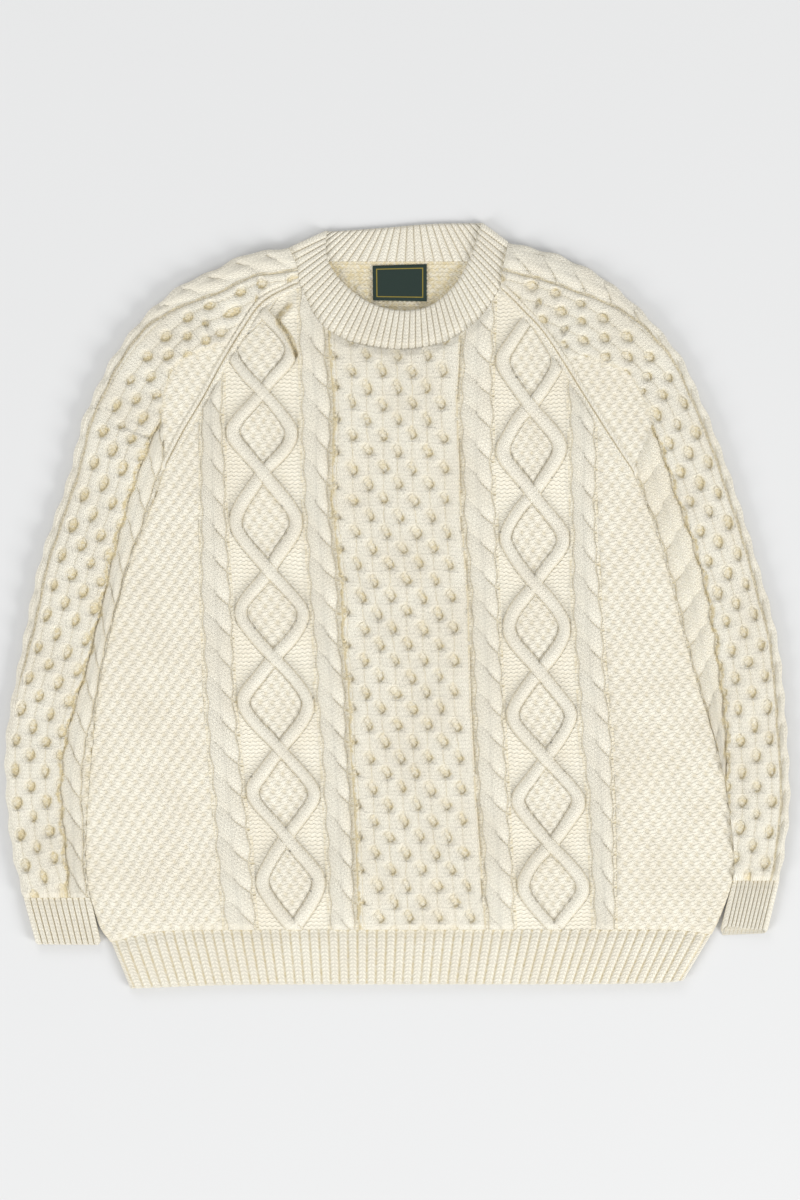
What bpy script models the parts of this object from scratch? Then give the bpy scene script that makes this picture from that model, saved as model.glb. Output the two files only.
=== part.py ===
"""An Aran pullover with raglan sleeves, lying flat on its back with the front up.

Metres, +Z up, resting on z = 0. +Y runs from the hem to the neck and +X is the wearer's left.
The tables are in millimetres. Every piece is a wall of knitting with an outer and an inner side.
Cables, diamonds, honeycomb and ribs are raised on the outer side, over a plain inner side.
"""

import math
from collections import namedtuple

import bpy
from mathutils import Vector
from mathutils.geometry import delaunay_2d_cdt

MM = 0.001
GAP = 0.3
HALF_GAP = GAP / 2
BACK_WALL = 3.4
UPPER_Z = BACK_WALL + GAP
FRONT_WALL = 3.0
RELIEF = 2.8
MOSS_RISE = 1.0
MOSS_RAMP = 3.0
RIM = 1.2
SIDE_ROUND = 4.5
SIDE_STEPS = (0.12, 0.4, 1)
SLEEVE_UNDER_WALL = 3.1
SLEEVE_FOLD = 4.5
SLEEVE_CLEARANCE = 0.5
RIB_WALL = 2.4
RIB_RISE = 1.6
RIB_FOLD = 3.5
BAND_INNER_RISE = 0.8
FOLD_STEPS = 5
SQUARE_CORNER = 0.3
CREASE_ANGLE = math.radians(50)
LABEL_THICKNESS = 0.6

STITCH_ROW = 3.76
TWIST = 8 * STITCH_ROW
HOLE_PITCH = 13.8
HOLE_HALF_WIDTH = 4.6
HOLE_HALF_LENGTH = 7.6
HOLE_SHOULDER = 0.45
HOLE_MARGIN = 4.0
STRAND = 11.0
HALF_BORDER = 2.5
DIAMOND_TIP = 1.35 * STRAND
DIAMOND_BEND = 4.0
DIAMOND_FLOOR = 0.78
TRIANGLE_TIP = 0.85 * STRAND
TRIANGLE_CUT = 0.7 * STRAND
LAST_TRIANGLE = 28.0
GROOVE_HALF_WIDTH = 2.1
GROOVE_DROP = 9.0
GROOVE_MARGIN = 3.4
GROOVE_STRAIGHT = 0.55
GROOVE_DEPTH = 2.1
GUTTER_HALF_WIDTH = 1.7
GUTTER_STEPS = 16
GUTTER_START = 7.0
SEAM_MARGIN = 4.0
SLEEVE_HOLES = 7
FIRST_HOLE = 0.6
NARROWEST_STRIP = 7.5
SLEEVE_GROOVE_MARGIN = 5.4
SLEEVE_CABLE_MIDDLE = 0.42
SLEEVE_SLANT = 0.25

HEM_RIBS = 62
CUFF_RIBS = 10
BAND_FRONT_RIBS = 47
BAND_BACK_RIBS = 24

# Borders of the stitch panels on the front: each column says where that panel starts, from -X to +X.
Panels = namedtuple("Panels", "y cable_a diamond_a cable_b honeycomb cable_c diamond_b cable_d moss")
PANELS = (
    Panels(-305, -164, -129.5, -65, -36, 83.5, 112.5, 182, 206.5),
    Panels(-182, -175, -141, -71, -41, 74, 106, 176, 204.5),
    Panels(-88, -182, -150.5, -76.5, -47.5, 69, 101, 168, 199),
    Panels(6, -186, -154, -83.5, -53, 66.5, 96.5, 162, 192),
    Panels(100, -186.5, -159.5, -90.5, -61.5, 59.5, 92.5, 160.5, 187.5),
    Panels(194, -186, -161, -92.5, -60.5, 56, 91, 158, 187.5),
    Panels(300, -186, -161, -95, -69, 62, 94, 157, 187.5),
)
# Heights at which the two strands of each diamond panel cross.
CROSSINGS_A = (278, 201, 125, 33, -48, -135, -216, -302)
CROSSINGS_B = (272, 189, 105, 22, -62, -143, -223, -304)
# Honeycomb: height of the first hole, and its columns' places as shares of the panel's width.
HOLE_START = 281
HOLE_COLUMNS = [0.16 + 0.1185 * column for column in range(7)]
HONEYCOMB_TOPS = {"honeycomb": 255, "cable_c": 244}
# The crease that runs down from the neckband on the -X side.
CREASE = ((-101, 282), (-112, 268), (-103, 254), (-95, 236))
CREASE_HALF_WIDTH = 2.6
CREASE_CLEARANCE = 3.6
# The four cables of the front: the borders on both sides of each.
CABLES = (("cable_a", "diamond_a"), ("cable_b", "honeycomb"), ("cable_c", "diamond_b"), ("cable_d", "moss"))
UP_THE_FRONT = Vector((-0.05, 1))

# Seam between the body and the hem rib, and the hem's free edge, from -X to +X.
HEM_SEAM = (
    (-268.5, -315.5), (-235, -307), (-190, -304), (0, -303.5), (200, -303.5), (262, -304), (294.5, -308),
)
HEM_FREE = (
    (-250.5, -359), (-225, -358), (-150, -355.5), (0, -355), (150, -355), (240, -354), (268.5, -351.5),
)
# How far the hem's outer side has rounded over at each point in from its two ends.
HEM_END_DROPS = {0: 1, 1: 0.45, 2: 0.15}
# Seam between the neckband and the two body panels, and the neckband's free edge, from -X to +X.
NECK_FRONT = (
    (-92.5, 303.5), (-75, 269), (-54, 252), (-26, 243.5), (2, 240.5), (27, 243),
    (49.5, 250), (78, 271), (96.5, 299),
)
NECK_BACK = ((-71, 323.5), (3, 323.5), (78, 323.5))
BAND_FREE_FRONT = (
    (-66.5, 351.5), (-65.5, 325), (-49.5, 302), (-26, 285), (2.5, 277.5), (30.5, 282),
    (54, 302), (69, 329), (79, 359.5),
)
BAND_FREE_BACK = ((-66.5, 351.5), (-16, 355), (32, 359), (79, 359.5))
LABEL = ((-23.5, 319.5), (27.5, 321), (27.5, 286), (-23, 287))

# One side of the garment.
# body: the panels' side edge, from the hem rib up to the armpit.
# raglan and back_raglan: the sleeve's seams, from the armpit up.
# neck and back_neck: the sleeve's end at the neckband, out to its fold.
# fold: the sleeve's outer fold, down to the cuff. gutter: the inner border of the sleeve's honeycomb.
# strip: height, and how far the honeycomb starts from the fold there.
# cuff and under_cuff: the inner and the outer end of each layer's free edge.
Side = namedtuple(
    "Side", "name sign body raglan back_raglan neck back_neck fold gutter strip cuff under_cuff"
)
SIDES = (
    Side(
        name="right",
        sign=-1,
        body=(
            (-268.5, -315.5), (-281, -296), (-291, -250), (-290.5, -200), (-287, -150), (-282, -100),
            (-274.5, -50), (-262, 0), (-247, 50), (-229, 95), (-217, 132),
        ),
        raglan=(
            (-217, 132), (-200, 165), (-182, 195), (-163, 230), (-144.5, 260), (-125, 286), (-92.5, 303.5),
        ),
        back_raglan=((-217, 132), (-146, 228), (-71, 323.5)),
        neck=((-92.5, 303.5), (-94, 318), (-102, 336.5)),
        back_neck=((-71, 323.5), (-90, 324.5), (-98.5, 327.5), (-102, 336.5)),
        fold=(
            (-102, 336.5), (-122, 333.5), (-145, 329), (-175, 314), (-206, 299), (-240, 269),
            (-268.5, 231), (-287, 193.5), (-296, 172), (-309.5, 118.5), (-335, 43), (-351, -32),
            (-365, -107), (-368, -150), (-363, -220), (-351, -273.5),
        ),
        gutter=(
            (-221, 178), (-242, 130), (-261, 70), (-275, 15), (-290, -50), (-309, -115), (-316, -172),
            (-309, -268),
        ),
        strip=((-100, 2), (0, 10), (150, 12), (230, 18), (330, 22)),
        cuff=((-278, -318), (-339, -317.5)),
        under_cuff=((-278, -317), (-339, -316)),
    ),
    Side(
        name="left",
        sign=1,
        body=(
            (294.5, -308), (303, -290), (314, -255), (314, -222), (306, -162), (293.5, -114),
            (281, -75), (268, -28), (256, 20), (243, 67), (221, 126),
        ),
        raglan=((221, 126), (199, 159), (170.5, 204), (155.5, 228.5), (137, 256.5), (117, 278), (96.5, 299)),
        back_raglan=((221, 126), (150, 226), (78, 323.5)),
        neck=((96.5, 299), (98.5, 316), (104, 341.8)),
        back_neck=((78, 323.5), (94, 325.5), (101.5, 331.5), (104, 341.8)),
        fold=(
            (104, 341.8), (125, 336), (149, 330), (183, 314), (204.5, 299), (236.5, 269),
            (267.5, 231), (284.5, 193.5), (293.5, 173), (313.5, 118.5), (337, 43), (356.5, -32),
            (364.5, -107), (368, -180), (364.5, -220), (358.5, -257.5),
        ),
        gutter=((239, 171), (264, 99), (288, 26), (296, -18), (302, -54), (306, -90), (309, -125)),
        strip=((-150, 9), (50, 8), (194, 8), (250, 16), (330, 27)),
        cuff=((304, -300), (347, -304.5)),
        under_cuff=((302, -309.5), (347, -307.5)),
    ),
)

CREAM = (0.79, 0.74, 0.61)
CREAM_RIB = (0.75, 0.69, 0.55)
GREEN = (0.024, 0.040, 0.033)
YARN_ROUGHNESS = 0.95

Pit = namedtuple("Pit", "mouth floor depth")


def smooth(points, steps=2):
    """A Catmull-Rom curve through the points, cut into this many pieces a span."""
    knots = [Vector(p) for p in points]
    knots = [2 * knots[0] - knots[1]] + knots + [2 * knots[-1] - knots[-2]]
    curve = []
    for a, b, c, d in zip(knots, knots[1:], knots[2:], knots[3:]):
        for step in range(steps):
            t = step / steps
            square = 2 * a - 5 * b + 4 * c - d
            cube = 3 * b - a - 3 * c + d
            curve.append(b + 0.5 * ((c - a) * t + square * t**2 + cube * t**3))
    return curve + [knots[-2]]


def resampled(curve, count, trim=0.0):
    """The curve as this many equal pieces, with this much cut off each end."""
    lengths = [0.0]
    for a, b in zip(curve, curve[1:]):
        lengths.append(lengths[-1] + (b - a).length)
    points = []
    span = 0
    for step in range(count + 1):
        target = trim + (lengths[-1] - 2 * trim) * step / count
        while span < len(curve) - 2 and lengths[span + 1] < target:
            span += 1
        share = (target - lengths[span]) / (lengths[span + 1] - lengths[span])
        points.append(curve[span].lerp(curve[span + 1], share))
    return points


def above(curve, y):
    """The part of a rising curve above this height."""
    kept = [p for p in curve if p.y > y + 1]
    below = curve[len(curve) - len(kept) - 1]
    return [below.lerp(kept[0], (y - below.y) / (kept[0].y - below.y))] + kept


def left_of(direction):
    return Vector((-direction.y, direction.x)).normalized()


def shifted(curve, distance):
    """The curve moved sideways, to the left of its direction where the distance is positive."""
    ends = [curve[0]] + list(curve) + [curve[-1]]
    return [p + left_of(after - before) * distance for before, p, after in zip(ends, curve, ends[2:])]


def to_segment(point, a, b):
    """Distance from the point to the segment from a to b."""
    along = b - a
    share = max(0.0, min(1.0, (point - a).dot(along) / along.length_squared))
    return (point - a - along * share).length


def to_curve(point, curve):
    return min(to_segment(point, a, b) for a, b in zip(curve, curve[1:]))


def inside(point, outline):
    """Whether the point lies inside the closed outline."""
    crossings = 0
    for a, b in zip(outline, outline[1:] + outline[:1]):
        if (a.y > point.y) != (b.y > point.y):
            crossings += point.x < a.x + (point.y - a.y) * (b.x - a.x) / (b.y - a.y)
    return crossings % 2 == 1


def clear_inside(pit, outline, margin=1.2):
    closed = outline + outline[:1]
    return all(inside(p, outline) and to_curve(p, closed) > margin for p in pit.mouth)


def clipped(polygon, edge, margin):
    """The part of a convex polygon that lies more than the margin to the left of each piece of the edge."""
    for a, b in zip(edge, edge[1:]):
        depths = [(p - a).dot(left_of(b - a)) - margin for p in polygon]
        kept = []
        for i, p in enumerate(polygon):
            here, there = depths[i], depths[i - 1]
            if (here > 0) != (there > 0):
                kept.append(polygon[i - 1].lerp(p, there / (there - here)))
            if here > 0:
                kept.append(p)
        polygon = kept
    return polygon


def shrunk(polygon, share):
    middle = sum(polygon, Vector((0, 0))) / len(polygon)
    return [middle.lerp(p, share) for p in polygon]


def between(rows, at, column):
    """The value in this column of a table sorted by its first column, read at this height."""
    for low, high in zip(rows, rows[1:]):
        if at <= high[0] or high is rows[-1]:
            share = (at - low[0]) / (high[0] - low[0])
            return low[column] + (high[column] - low[column]) * share


def border(name, y):
    """Where the named stitch panel starts at this height."""
    return between(PANELS, y, Panels._fields.index(name))


def inset_loop(runs, insets):
    """A clockwise outline from runs that meet end to end, each moved inwards, and each run's points in it."""
    moved = [shifted(run, -inset) for run, inset in zip(runs, insets)]
    joined = []
    for i, run in enumerate(runs):
        following = (i + 1) % len(runs)
        inward = -left_of(run[-1] - run[-2])
        inward_next = -left_of(runs[following][1] - runs[following][0])
        turn = inward.cross(inward_next)
        joined.append(abs(turn) > SQUARE_CORNER)
        if joined[-1]:
            reach = (inward_next * insets[i] - inward * insets[following]) / turn
            moved[i][-1] = moved[following][0] = run[-1] + Vector((reach.y, -reach.x))
    outline = []
    spans = []
    for run, shares_end in zip(moved, joined):
        spans.append(list(range(len(outline), len(outline) + len(run))))
        outline += run[:-1] if shares_end else run
    spans[-1] = [i % len(outline) for i in spans[-1]]
    return outline, spans


def yarn(name, color):
    material = bpy.data.materials.new(name)
    material.use_nodes = True
    shader = material.node_tree.nodes["Principled BSDF"]
    shader.inputs["Base Color"].default_value = (*color, 1)
    shader.inputs["Roughness"].default_value = YARN_ROUGHNESS
    shader.inputs["Metallic"].default_value = 0
    return material


class Wall:
    """A wall of knitting. Each point has an outer and an inner place, and faces join the points."""

    def __init__(self):
        self.outer = []
        self.inner = []
        self.faces = []

    def point(self, outer, inner):
        self.outer.append(Vector(outer))
        self.inner.append(Vector(inner))
        return len(self.outer) - 1

    def strip(self, first, second):
        """Faces between two rows of points."""
        for a, b, c, d in zip(first, first[1:], second[1:], second):
            self.faces.append((a, b, c, d))

    def layer(self, outline, place, lines=(), pits=(), face_up=True):
        """A flat layer inside the clockwise outline, cut along the lines and round the pits.

        Returns the numbers of the outline's points.
        """
        points = list(outline)
        edges = []
        sunk = {}
        for line in lines:
            edges += [(len(points) + i, len(points) + i + 1) for i in range(len(line) - 1)]
            points += line
        for pit in pits:
            first = len(points)
            count = len(pit.mouth)
            edges += [(first + i, first + (i + 1) % count) for i in range(count)]
            points += pit.mouth
            floor = len(points)
            edges += [(floor + i, floor + i + 1) for i in range(len(pit.floor) - 1)]
            sunk.update((floor + i, pit.depth) for i in range(len(pit.floor)))
            points += pit.floor
        ring = list(range(len(outline)))[::-1]
        corners, _, faces, sources, _, owners = delaunay_2d_cdt(points, edges, [ring], 0, 1e-4, True)
        numbers = {}
        for face, owner in zip(faces, owners):
            if not owner:
                continue
            for i in face:
                if i not in numbers:
                    depth = max((sunk.get(source, 0) for source in sources[i]), default=0)
                    numbers[i] = self.point(*place(corners[i], depth))
            face = [numbers[i] for i in face]
            self.faces.append(tuple(face if face_up else reversed(face)))
        at_source = {source: numbers[i] for i in numbers for source in sources[i]}
        return [at_source[i] for i in range(len(outline))]

    def fold(self, upper, lower, radius, ends):
        """A rounded fold from the upper layer's edge to the lower layer's.

        Both edges run clockwise round their layers. The ends say which way the fold bulges at its first and
        last point, where it isn't at a right angle to the edge.
        """
        edge = [self.outer[i].xy for i in upper]
        outward = [after - before for before, after in zip(edge, shifted(edge, radius))]
        for i, direction in zip((0, -1), ends):
            if direction:
                outward[i] = direction.normalized() * radius
        rows = [upper]
        for step in range(1, FOLD_STEPS):
            share = step / FOLD_STEPS
            row = []
            for top, bottom, out in zip(upper, lower, outward):
                high, low = self.outer[top], self.outer[bottom]
                flat = high.xy.lerp(low.xy, share) + out * math.sin(math.pi * share)
                height = (high.z + low.z) / 2 + (high.z - low.z) / 2 * math.cos(math.pi * share)
                row.append(self.point((*flat, height), self.inner[top].lerp(self.inner[bottom], share)))
            rows.append(row)
        rows.append(lower)
        for first, second in zip(rows, rows[1:]):
            self.strip(first, second)

    def solid(self, name, color):
        """The closed object: the outer side, the inner side and a rim along each free edge."""
        count = len(self.outer)
        sides = dict.fromkeys((a, b) for face in self.faces for a, b in zip(face, face[1:] + face[:1]))
        faces = list(self.faces)
        faces += [tuple(i + count for i in reversed(face)) for face in self.faces]
        faces += [(b, a, a + count, b + count) for a, b in sides if (b, a) not in sides]
        mesh = bpy.data.meshes.new(name)
        mesh.from_pydata([p * MM for p in self.outer + self.inner], [], faces)
        mesh.shade_smooth()
        mesh.set_sharp_from_angle(angle=CREASE_ANGLE)
        mesh.materials.append(yarn(name + "_yarn", color))
        made = bpy.data.objects.new(name, mesh)
        bpy.context.scene.collection.objects.link(made)


# Stitch patterns: each is a set of pits between stitches that stand RELIEF above the ground.


def honeycomb_hole(centre, along):
    """A six-sided hollow between the strands of the honeycomb."""
    along = along.normalized() * HOLE_HALF_LENGTH
    across = left_of(along) * -HOLE_HALF_WIDTH
    shoulder = along * HOLE_SHOULDER
    mouth = [
        centre + along, centre + across + shoulder, centre + across - shoulder,
        centre - along, centre - across - shoulder, centre - across + shoulder,
    ]
    return Pit(mouth, [centre], RELIEF)


def cable_groove(centre, half_width, down):
    """The slanting groove between two turns of a cable that runs in the given direction."""
    down = down.normalized()
    reach = left_of(down) * half_width + down * GROOVE_DROP
    wide = left_of(reach) * GROOVE_HALF_WIDTH
    near = reach * GROOVE_STRAIGHT
    mouth = [
        centre - reach, centre - near - wide, centre + near - wide,
        centre + reach, centre + near + wide, centre - near + wide,
    ]
    return Pit(mouth, [centre - near, centre + near], GROOVE_DEPTH)


def trough(curve, half_width, depth):
    """A long V-shaped gutter along the curve."""
    mouth = shifted(curve, half_width) + shifted(curve, -half_width)[::-1]
    return Pit(mouth, curve[1:-1], depth)


def diamond_pits(start, end, crossings, edges):
    """The moss-stitch diamonds, and the plain triangles beside them, between the raised strands."""
    pits = []

    def half(y):
        return (border(end, y) - border(start, y)) / 2 - HALF_BORDER

    def middle(y):
        return (border(end, y) + border(start, y)) / 2

    def add(polygon, depth):
        for edge in edges:
            polygon = clipped(polygon, edge, SEAM_MARGIN)
        if len(polygon) > 2:
            floor = shrunk(polygon, DIAMOND_FLOOR)
            pits.append(Pit(polygon, floor + floor[:1], depth))

    for high, low in zip(crossings, crossings[1:]):
        centre = Vector((middle((high + low) / 2), (high + low) / 2))
        tip = Vector((0, (high - low) / 2 - DIAMOND_TIP))
        wide = Vector((half(centre.y) - STRAND, 0))
        bend = Vector((0, DIAMOND_BEND))
        corners = [tip, bend - wide, -bend - wide, -tip, wide - bend, wide + bend]
        add([centre + corner for corner in corners], RELIEF - MOSS_RISE)
    for i, y in enumerate(crossings):
        top = y + ((crossings[i - 1] - y) / 2 - TRIANGLE_CUT if i else LAST_TRIANGLE)
        bottom = y - ((y - crossings[i + 1]) / 2 - TRIANGLE_CUT if i + 1 < len(crossings) else LAST_TRIANGLE)
        for sign in (-1, 1):
            corners = [
                Vector((middle(y) + sign * TRIANGLE_TIP, y)),
                Vector((middle(bottom) + sign * half(bottom), bottom)),
                Vector((middle(top) + sign * half(top), top)),
            ]
            add(corners[::sign], RELIEF)
    return pits


def front_pits(outline):
    """Everything on the front that is lower than the raised stitches."""
    hem_y, top_y = PANELS[0].y, PANELS[-1].y
    right, left = SIDES
    edges = [
        [Vector(p) for p in right.raglan][::-1],
        [Vector(p) for p in left.raglan],
        [Vector((-1, hem_y)), Vector((1, hem_y))],
    ]
    pits = diamond_pits("diamond_a", "cable_b", CROSSINGS_A, edges)
    pits += diamond_pits("diamond_b", "cable_d", CROSSINGS_B, edges)
    for name, top in HONEYCOMB_TOPS.items():
        start = hem_y + GUTTER_START
        heights = [start + (top - start) * i / GUTTER_STEPS for i in range(GUTTER_STEPS + 1)]
        pits.append(trough([Vector((border(name, y), y)) for y in heights], GUTTER_HALF_WIDTH, RELIEF))
    for column, share in enumerate(HOLE_COLUMNS):
        y = HOLE_START - (TWIST / 2 if column % 2 else 0)
        while y > hem_y:
            start, end = border("honeycomb", y), border("cable_c", y)
            pits.append(honeycomb_hole(Vector((start + (end - start) * share, y)), UP_THE_FRONT))
            y -= TWIST
    for number, (start, end) in enumerate(CABLES):
        y = top_y - TWIST * number / len(CABLES)
        while y > hem_y:
            middle = (border(end, y) + border(start, y)) / 2
            half_width = (border(end, y) - border(start, y)) / 2 - GROOVE_MARGIN
            pits.append(cable_groove(Vector((middle, y)), half_width, -UP_THE_FRONT))
            y -= TWIST
    crease = smooth(CREASE)
    pits = [pit for pit in pits if min(to_curve(p, crease) for p in pit.mouth) > CREASE_CLEARANCE]
    pits.append(trough(crease, CREASE_HALF_WIDTH, RELIEF))
    return [pit for pit in pits if clear_inside(pit, outline)]


def at_height(curve, y):
    """The curve's point nearest to this height."""
    return min(curve, key=lambda p: abs(p.y - y))


def sleeve_pits(side, outline):
    """The sleeve's honeycomb, the gutters on both sides of it and the cable along the underarm seam."""
    fold, gutter, body = (smooth(curve, 8) for curve in (side.fold, side.gutter, side.body))
    seams = [smooth(side.raglan), smooth(side.body)]
    length = sum((b - a).length for a, b in zip(fold, fold[1:]))
    spine = resampled(fold, int(length / (TWIST / 2)))
    inward = [after - before for before, after in zip(spine, shifted(spine, -side.sign))]
    strips = [between(side.strip, p.y, 1) for p in spine]
    pits = []
    for i, (p, n, strip) in enumerate(zip(spine, inward, strips)):
        for column in range(i % 2, SLEEVE_HOLES, 2):
            centre = p + n * (strip + HOLE_PITCH * (column + FIRST_HOLE))
            clearance = (centre.x - at_height(gutter, centre.y).x) * side.sign
            if centre.y > gutter[0].y:
                clearance = to_curve(centre, gutter)
            to_seams = min(to_curve(centre, seam) for seam in seams)
            if clearance > HOLE_HALF_WIDTH + HOLE_MARGIN and to_seams > HOLE_PITCH:
                pits.append(honeycomb_hole(centre, left_of(n)))
    outer_gutter = [p + n * strip for p, n, strip in zip(spine, inward, strips) if strip > NARROWEST_STRIP]
    pits.append(trough(outer_gutter[1:], GUTTER_HALF_WIDTH, RELIEF))
    pits.append(trough(smooth(side.gutter), GUTTER_HALF_WIDTH, RELIEF))
    y = gutter[0].y - TWIST / 2
    while y > gutter[-1].y:
        edge, seam = at_height(gutter, y), at_height(body, y)
        half_width = (edge - seam).length / 2 - SLEEVE_GROOVE_MARGIN
        if half_width > GROOVE_MARGIN:
            down = Vector((side.sign * SLEEVE_SLANT, -1))
            pits.append(cable_groove(edge.lerp(seam, SLEEVE_CABLE_MIDDLE), half_width, down))
        y -= TWIST
    return [pit for pit in pits if clear_inside(pit, outline)]


# The pieces.


def body_loop(raglans, neckline):
    """The outline of a body panel, clockwise from the -X end of its hem seam."""
    right, left = (smooth(side.body)[:-1] + smooth(raglan) for side, raglan in zip(SIDES, raglans))
    runs = [right, smooth(neckline), left[::-1], smooth(HEM_SEAM)[::-1]]
    return inset_loop(runs, [HALF_GAP] * 4)[0]


def side_lines():
    """The body's two side edges, and the lines along them where the wall rounds over."""
    edges = [shifted(smooth(side.body), side.sign * HALF_GAP) for side in SIDES]
    lines = []
    for edge, side in zip(edges, SIDES):
        lines += [shifted(edge, side.sign * SIDE_ROUND * share) for share in SIDE_STEPS]
    return edges, lines


def side_drop(point, edges):
    """How far the wall has rounded over at the point: 0 on the flat, 1 at the side seam."""
    share = 1 - min(1.0, min(to_curve(point, edge) for edge in edges) / SIDE_ROUND)
    return 1 - math.sqrt(1 - share**2)


def make_front():
    edges, lines = side_lines()
    for name in ("cable_a", "moss"):
        for shift in (-MOSS_RAMP / 2, MOSS_RAMP / 2):
            lines.append([Vector((border(name, row.y) + shift, row.y)) for row in PANELS])

    def place(point, depth):
        inside_cables = min(point.x - border("cable_a", point.y), border("moss", point.y) - point.x)
        ramp = max(0.0, min(1.0, inside_cables / MOSS_RAMP + 0.5))
        rise = FRONT_WALL + MOSS_RISE + (RELIEF - MOSS_RISE) * ramp - depth
        rise -= side_drop(point, edges) * (rise - RIM)
        return (*point, UPPER_Z + rise), (*point, UPPER_Z)

    wall = Wall()
    outline = body_loop([side.raglan for side in SIDES], NECK_FRONT)
    wall.layer(outline, place, lines, front_pits(outline))
    wall.solid("front_panel", CREAM)


def make_back():
    edges, lines = side_lines()

    def place(point, depth):
        return (*point, side_drop(point, edges) * (BACK_WALL - RIM)), (*point, BACK_WALL)

    wall = Wall()
    wall.layer(body_loop([side.back_raglan for side in SIDES], NECK_BACK), place, lines, face_up=False)
    wall.solid("back_panel", CREAM)


def make_hem(name, front):
    """Half of the hem rib: the front's has its ribs raised, and the back's is flat underneath."""
    columns = HEM_RIBS * 2
    seam = shifted(resampled(smooth(HEM_SEAM, 6), columns), -HALF_GAP)
    free = resampled(smooth(HEM_FREE, 6), columns)
    wall = Wall()
    rows = []
    for share in (1, 0.5, 0):
        row = []
        for i, (a, b) in enumerate(zip(seam, free)):
            point = a.lerp(b, share)
            drop = HEM_END_DROPS.get(min(i, columns - i), 0)
            if front:
                rise = RIB_WALL + i % 2 * RIB_RISE
                outer, inner = UPPER_Z + rise - drop * (rise - RIM), UPPER_Z
            else:
                outer, inner = drop * (BACK_WALL - RIM), BACK_WALL
            row.append(wall.point((*point, outer), (*point, inner)))
        rows.append(row if front else row[::-1])
    for low, high in zip(rows, rows[1:]):
        wall.strip(low, high)
    wall.solid(name, CREAM_RIB)


def make_sleeve(side):
    """A sleeve pressed flat: the upper layer, a fold down each side and the plain layer underneath."""
    wall = Wall()
    cuff_y = side.fold[-1][1]
    inner = above(smooth(side.body), cuff_y)
    outer = smooth(side.fold)
    insets = [SLEEVE_FOLD + SLEEVE_CLEARANCE, HALF_GAP, HALF_GAP, SLEEVE_FOLD, HALF_GAP]

    def loop(raglan, neck):
        runs = [inner, smooth(raglan), smooth(neck), outer, [outer[-1], inner[0]]]
        if side.sign > 0:
            return inset_loop(runs, insets)
        outline, spans = inset_loop([run[::-1] for run in runs[::-1]], insets[::-1])
        return outline, spans[::-1]

    def place_upper(point, depth):
        return (*point, UPPER_Z + FRONT_WALL + RELIEF - depth), (*point, UPPER_Z)

    def place_under(point, depth):
        return (*point, 0), (*point, SLEEVE_UNDER_WALL)

    outline, spans = loop(side.raglan, side.neck)
    under_outline, under_spans = loop(side.back_raglan, side.back_neck)
    upper = wall.layer(outline, place_upper, pits=sleeve_pits(side, outline))
    under = wall.layer(under_outline, place_under, face_up=False)
    neck_end = Vector(side.neck[-1]) - Vector(side.neck[-2])
    for run, ends in ((0, (Vector((-side.sign, 0)), None)), (3, (neck_end, Vector((side.sign, 0))))):
        edges = [upper[i] for i in spans[run]], [under[i] for i in under_spans[run]]
        wall.fold(*edges, SLEEVE_FOLD, ends[:: side.sign])
    wall.solid("sleeve_" + side.name, CREAM)


def make_rib_tube(name, upper, under, folds, inner_rise=0.0):
    """A ribbed tube pressed flat.

    Both layers are rows of points from -Y to +Y, and each row runs from -X to +X. For the fold at -X and the
    one at +X, folds gives the way it bulges at the first row and at the last.
    """
    wall = Wall()
    layers = []
    for rows, lies_on_top in ((upper, True), (under, False)):
        numbers = []
        for row in rows:
            numbers.append([])
            for i, point in enumerate(row):
                crest = i % 2
                if lies_on_top:
                    outer, inner = UPPER_Z + RIB_WALL + crest * RIB_RISE, UPPER_Z
                else:
                    outer, inner = 0, RIB_WALL + crest * inner_rise
                numbers[-1].append(wall.point((*point, outer), (*point, inner)))
        layers.append(numbers)
        for low, high in zip(numbers, numbers[1:]):
            wall.strip(*((low, high) if lies_on_top else (high, low)))
    top, bottom = layers
    wall.fold([row[0] for row in top], [row[0] for row in bottom], RIB_FOLD, folds[0])
    wall.fold([row[-1] for row in top[::-1]], [row[-1] for row in bottom[::-1]], RIB_FOLD, folds[1][::-1])
    wall.solid(name, CREAM_RIB)


def make_cuff(side):
    seam_outer = Vector(side.fold[-1]) - Vector((0, HALF_GAP))
    seam_inner = above(smooth(side.body), side.fold[-1][1])[0]
    seam_inner += Vector((side.sign * SLEEVE_CLEARANCE, -HALF_GAP))
    layers = []
    for free in (side.cuff, side.under_cuff):
        free_inner, free_outer = (Vector(p) for p in free)
        rows = []
        for share in (0, 0.5, 1):
            ends = [free_inner.lerp(seam_inner, share), free_outer.lerp(seam_outer, share)]
            rows.append(resampled(ends[:: side.sign], CUFF_RIBS * 2, RIB_FOLD))
        layers.append(rows)
    make_rib_tube("cuff_" + side.name, *layers, [(None, Vector((end, 0))) for end in (-1, 1)])


def make_neckband():
    """The neckband: its front half lies on the front layer, and its back half shows its inner side."""
    right, left = SIDES
    seam_front = smooth(right.neck[::-1])[:-1] + smooth(NECK_FRONT)[:-1] + smooth(left.neck)
    seam_back = smooth(right.back_neck[::-1])[:-1] + smooth(NECK_BACK)[:-1] + smooth(left.back_neck)
    upper, under = (
        [
            shifted(resampled(seam, ribs * 2, RIB_FOLD), HALF_GAP),
            resampled(smooth(free, 4), ribs * 2, RIB_FOLD),
        ]
        for seam, free, ribs in (
            (seam_front, BAND_FREE_FRONT, BAND_FRONT_RIBS),
            (seam_back, BAND_FREE_BACK, BAND_BACK_RIBS),
        )
    )
    folds = [(Vector(side.neck[-1]) - Vector(side.neck[-2]), None) for side in SIDES]
    make_rib_tube("neckband", upper, under, folds, BAND_INNER_RISE)


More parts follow.
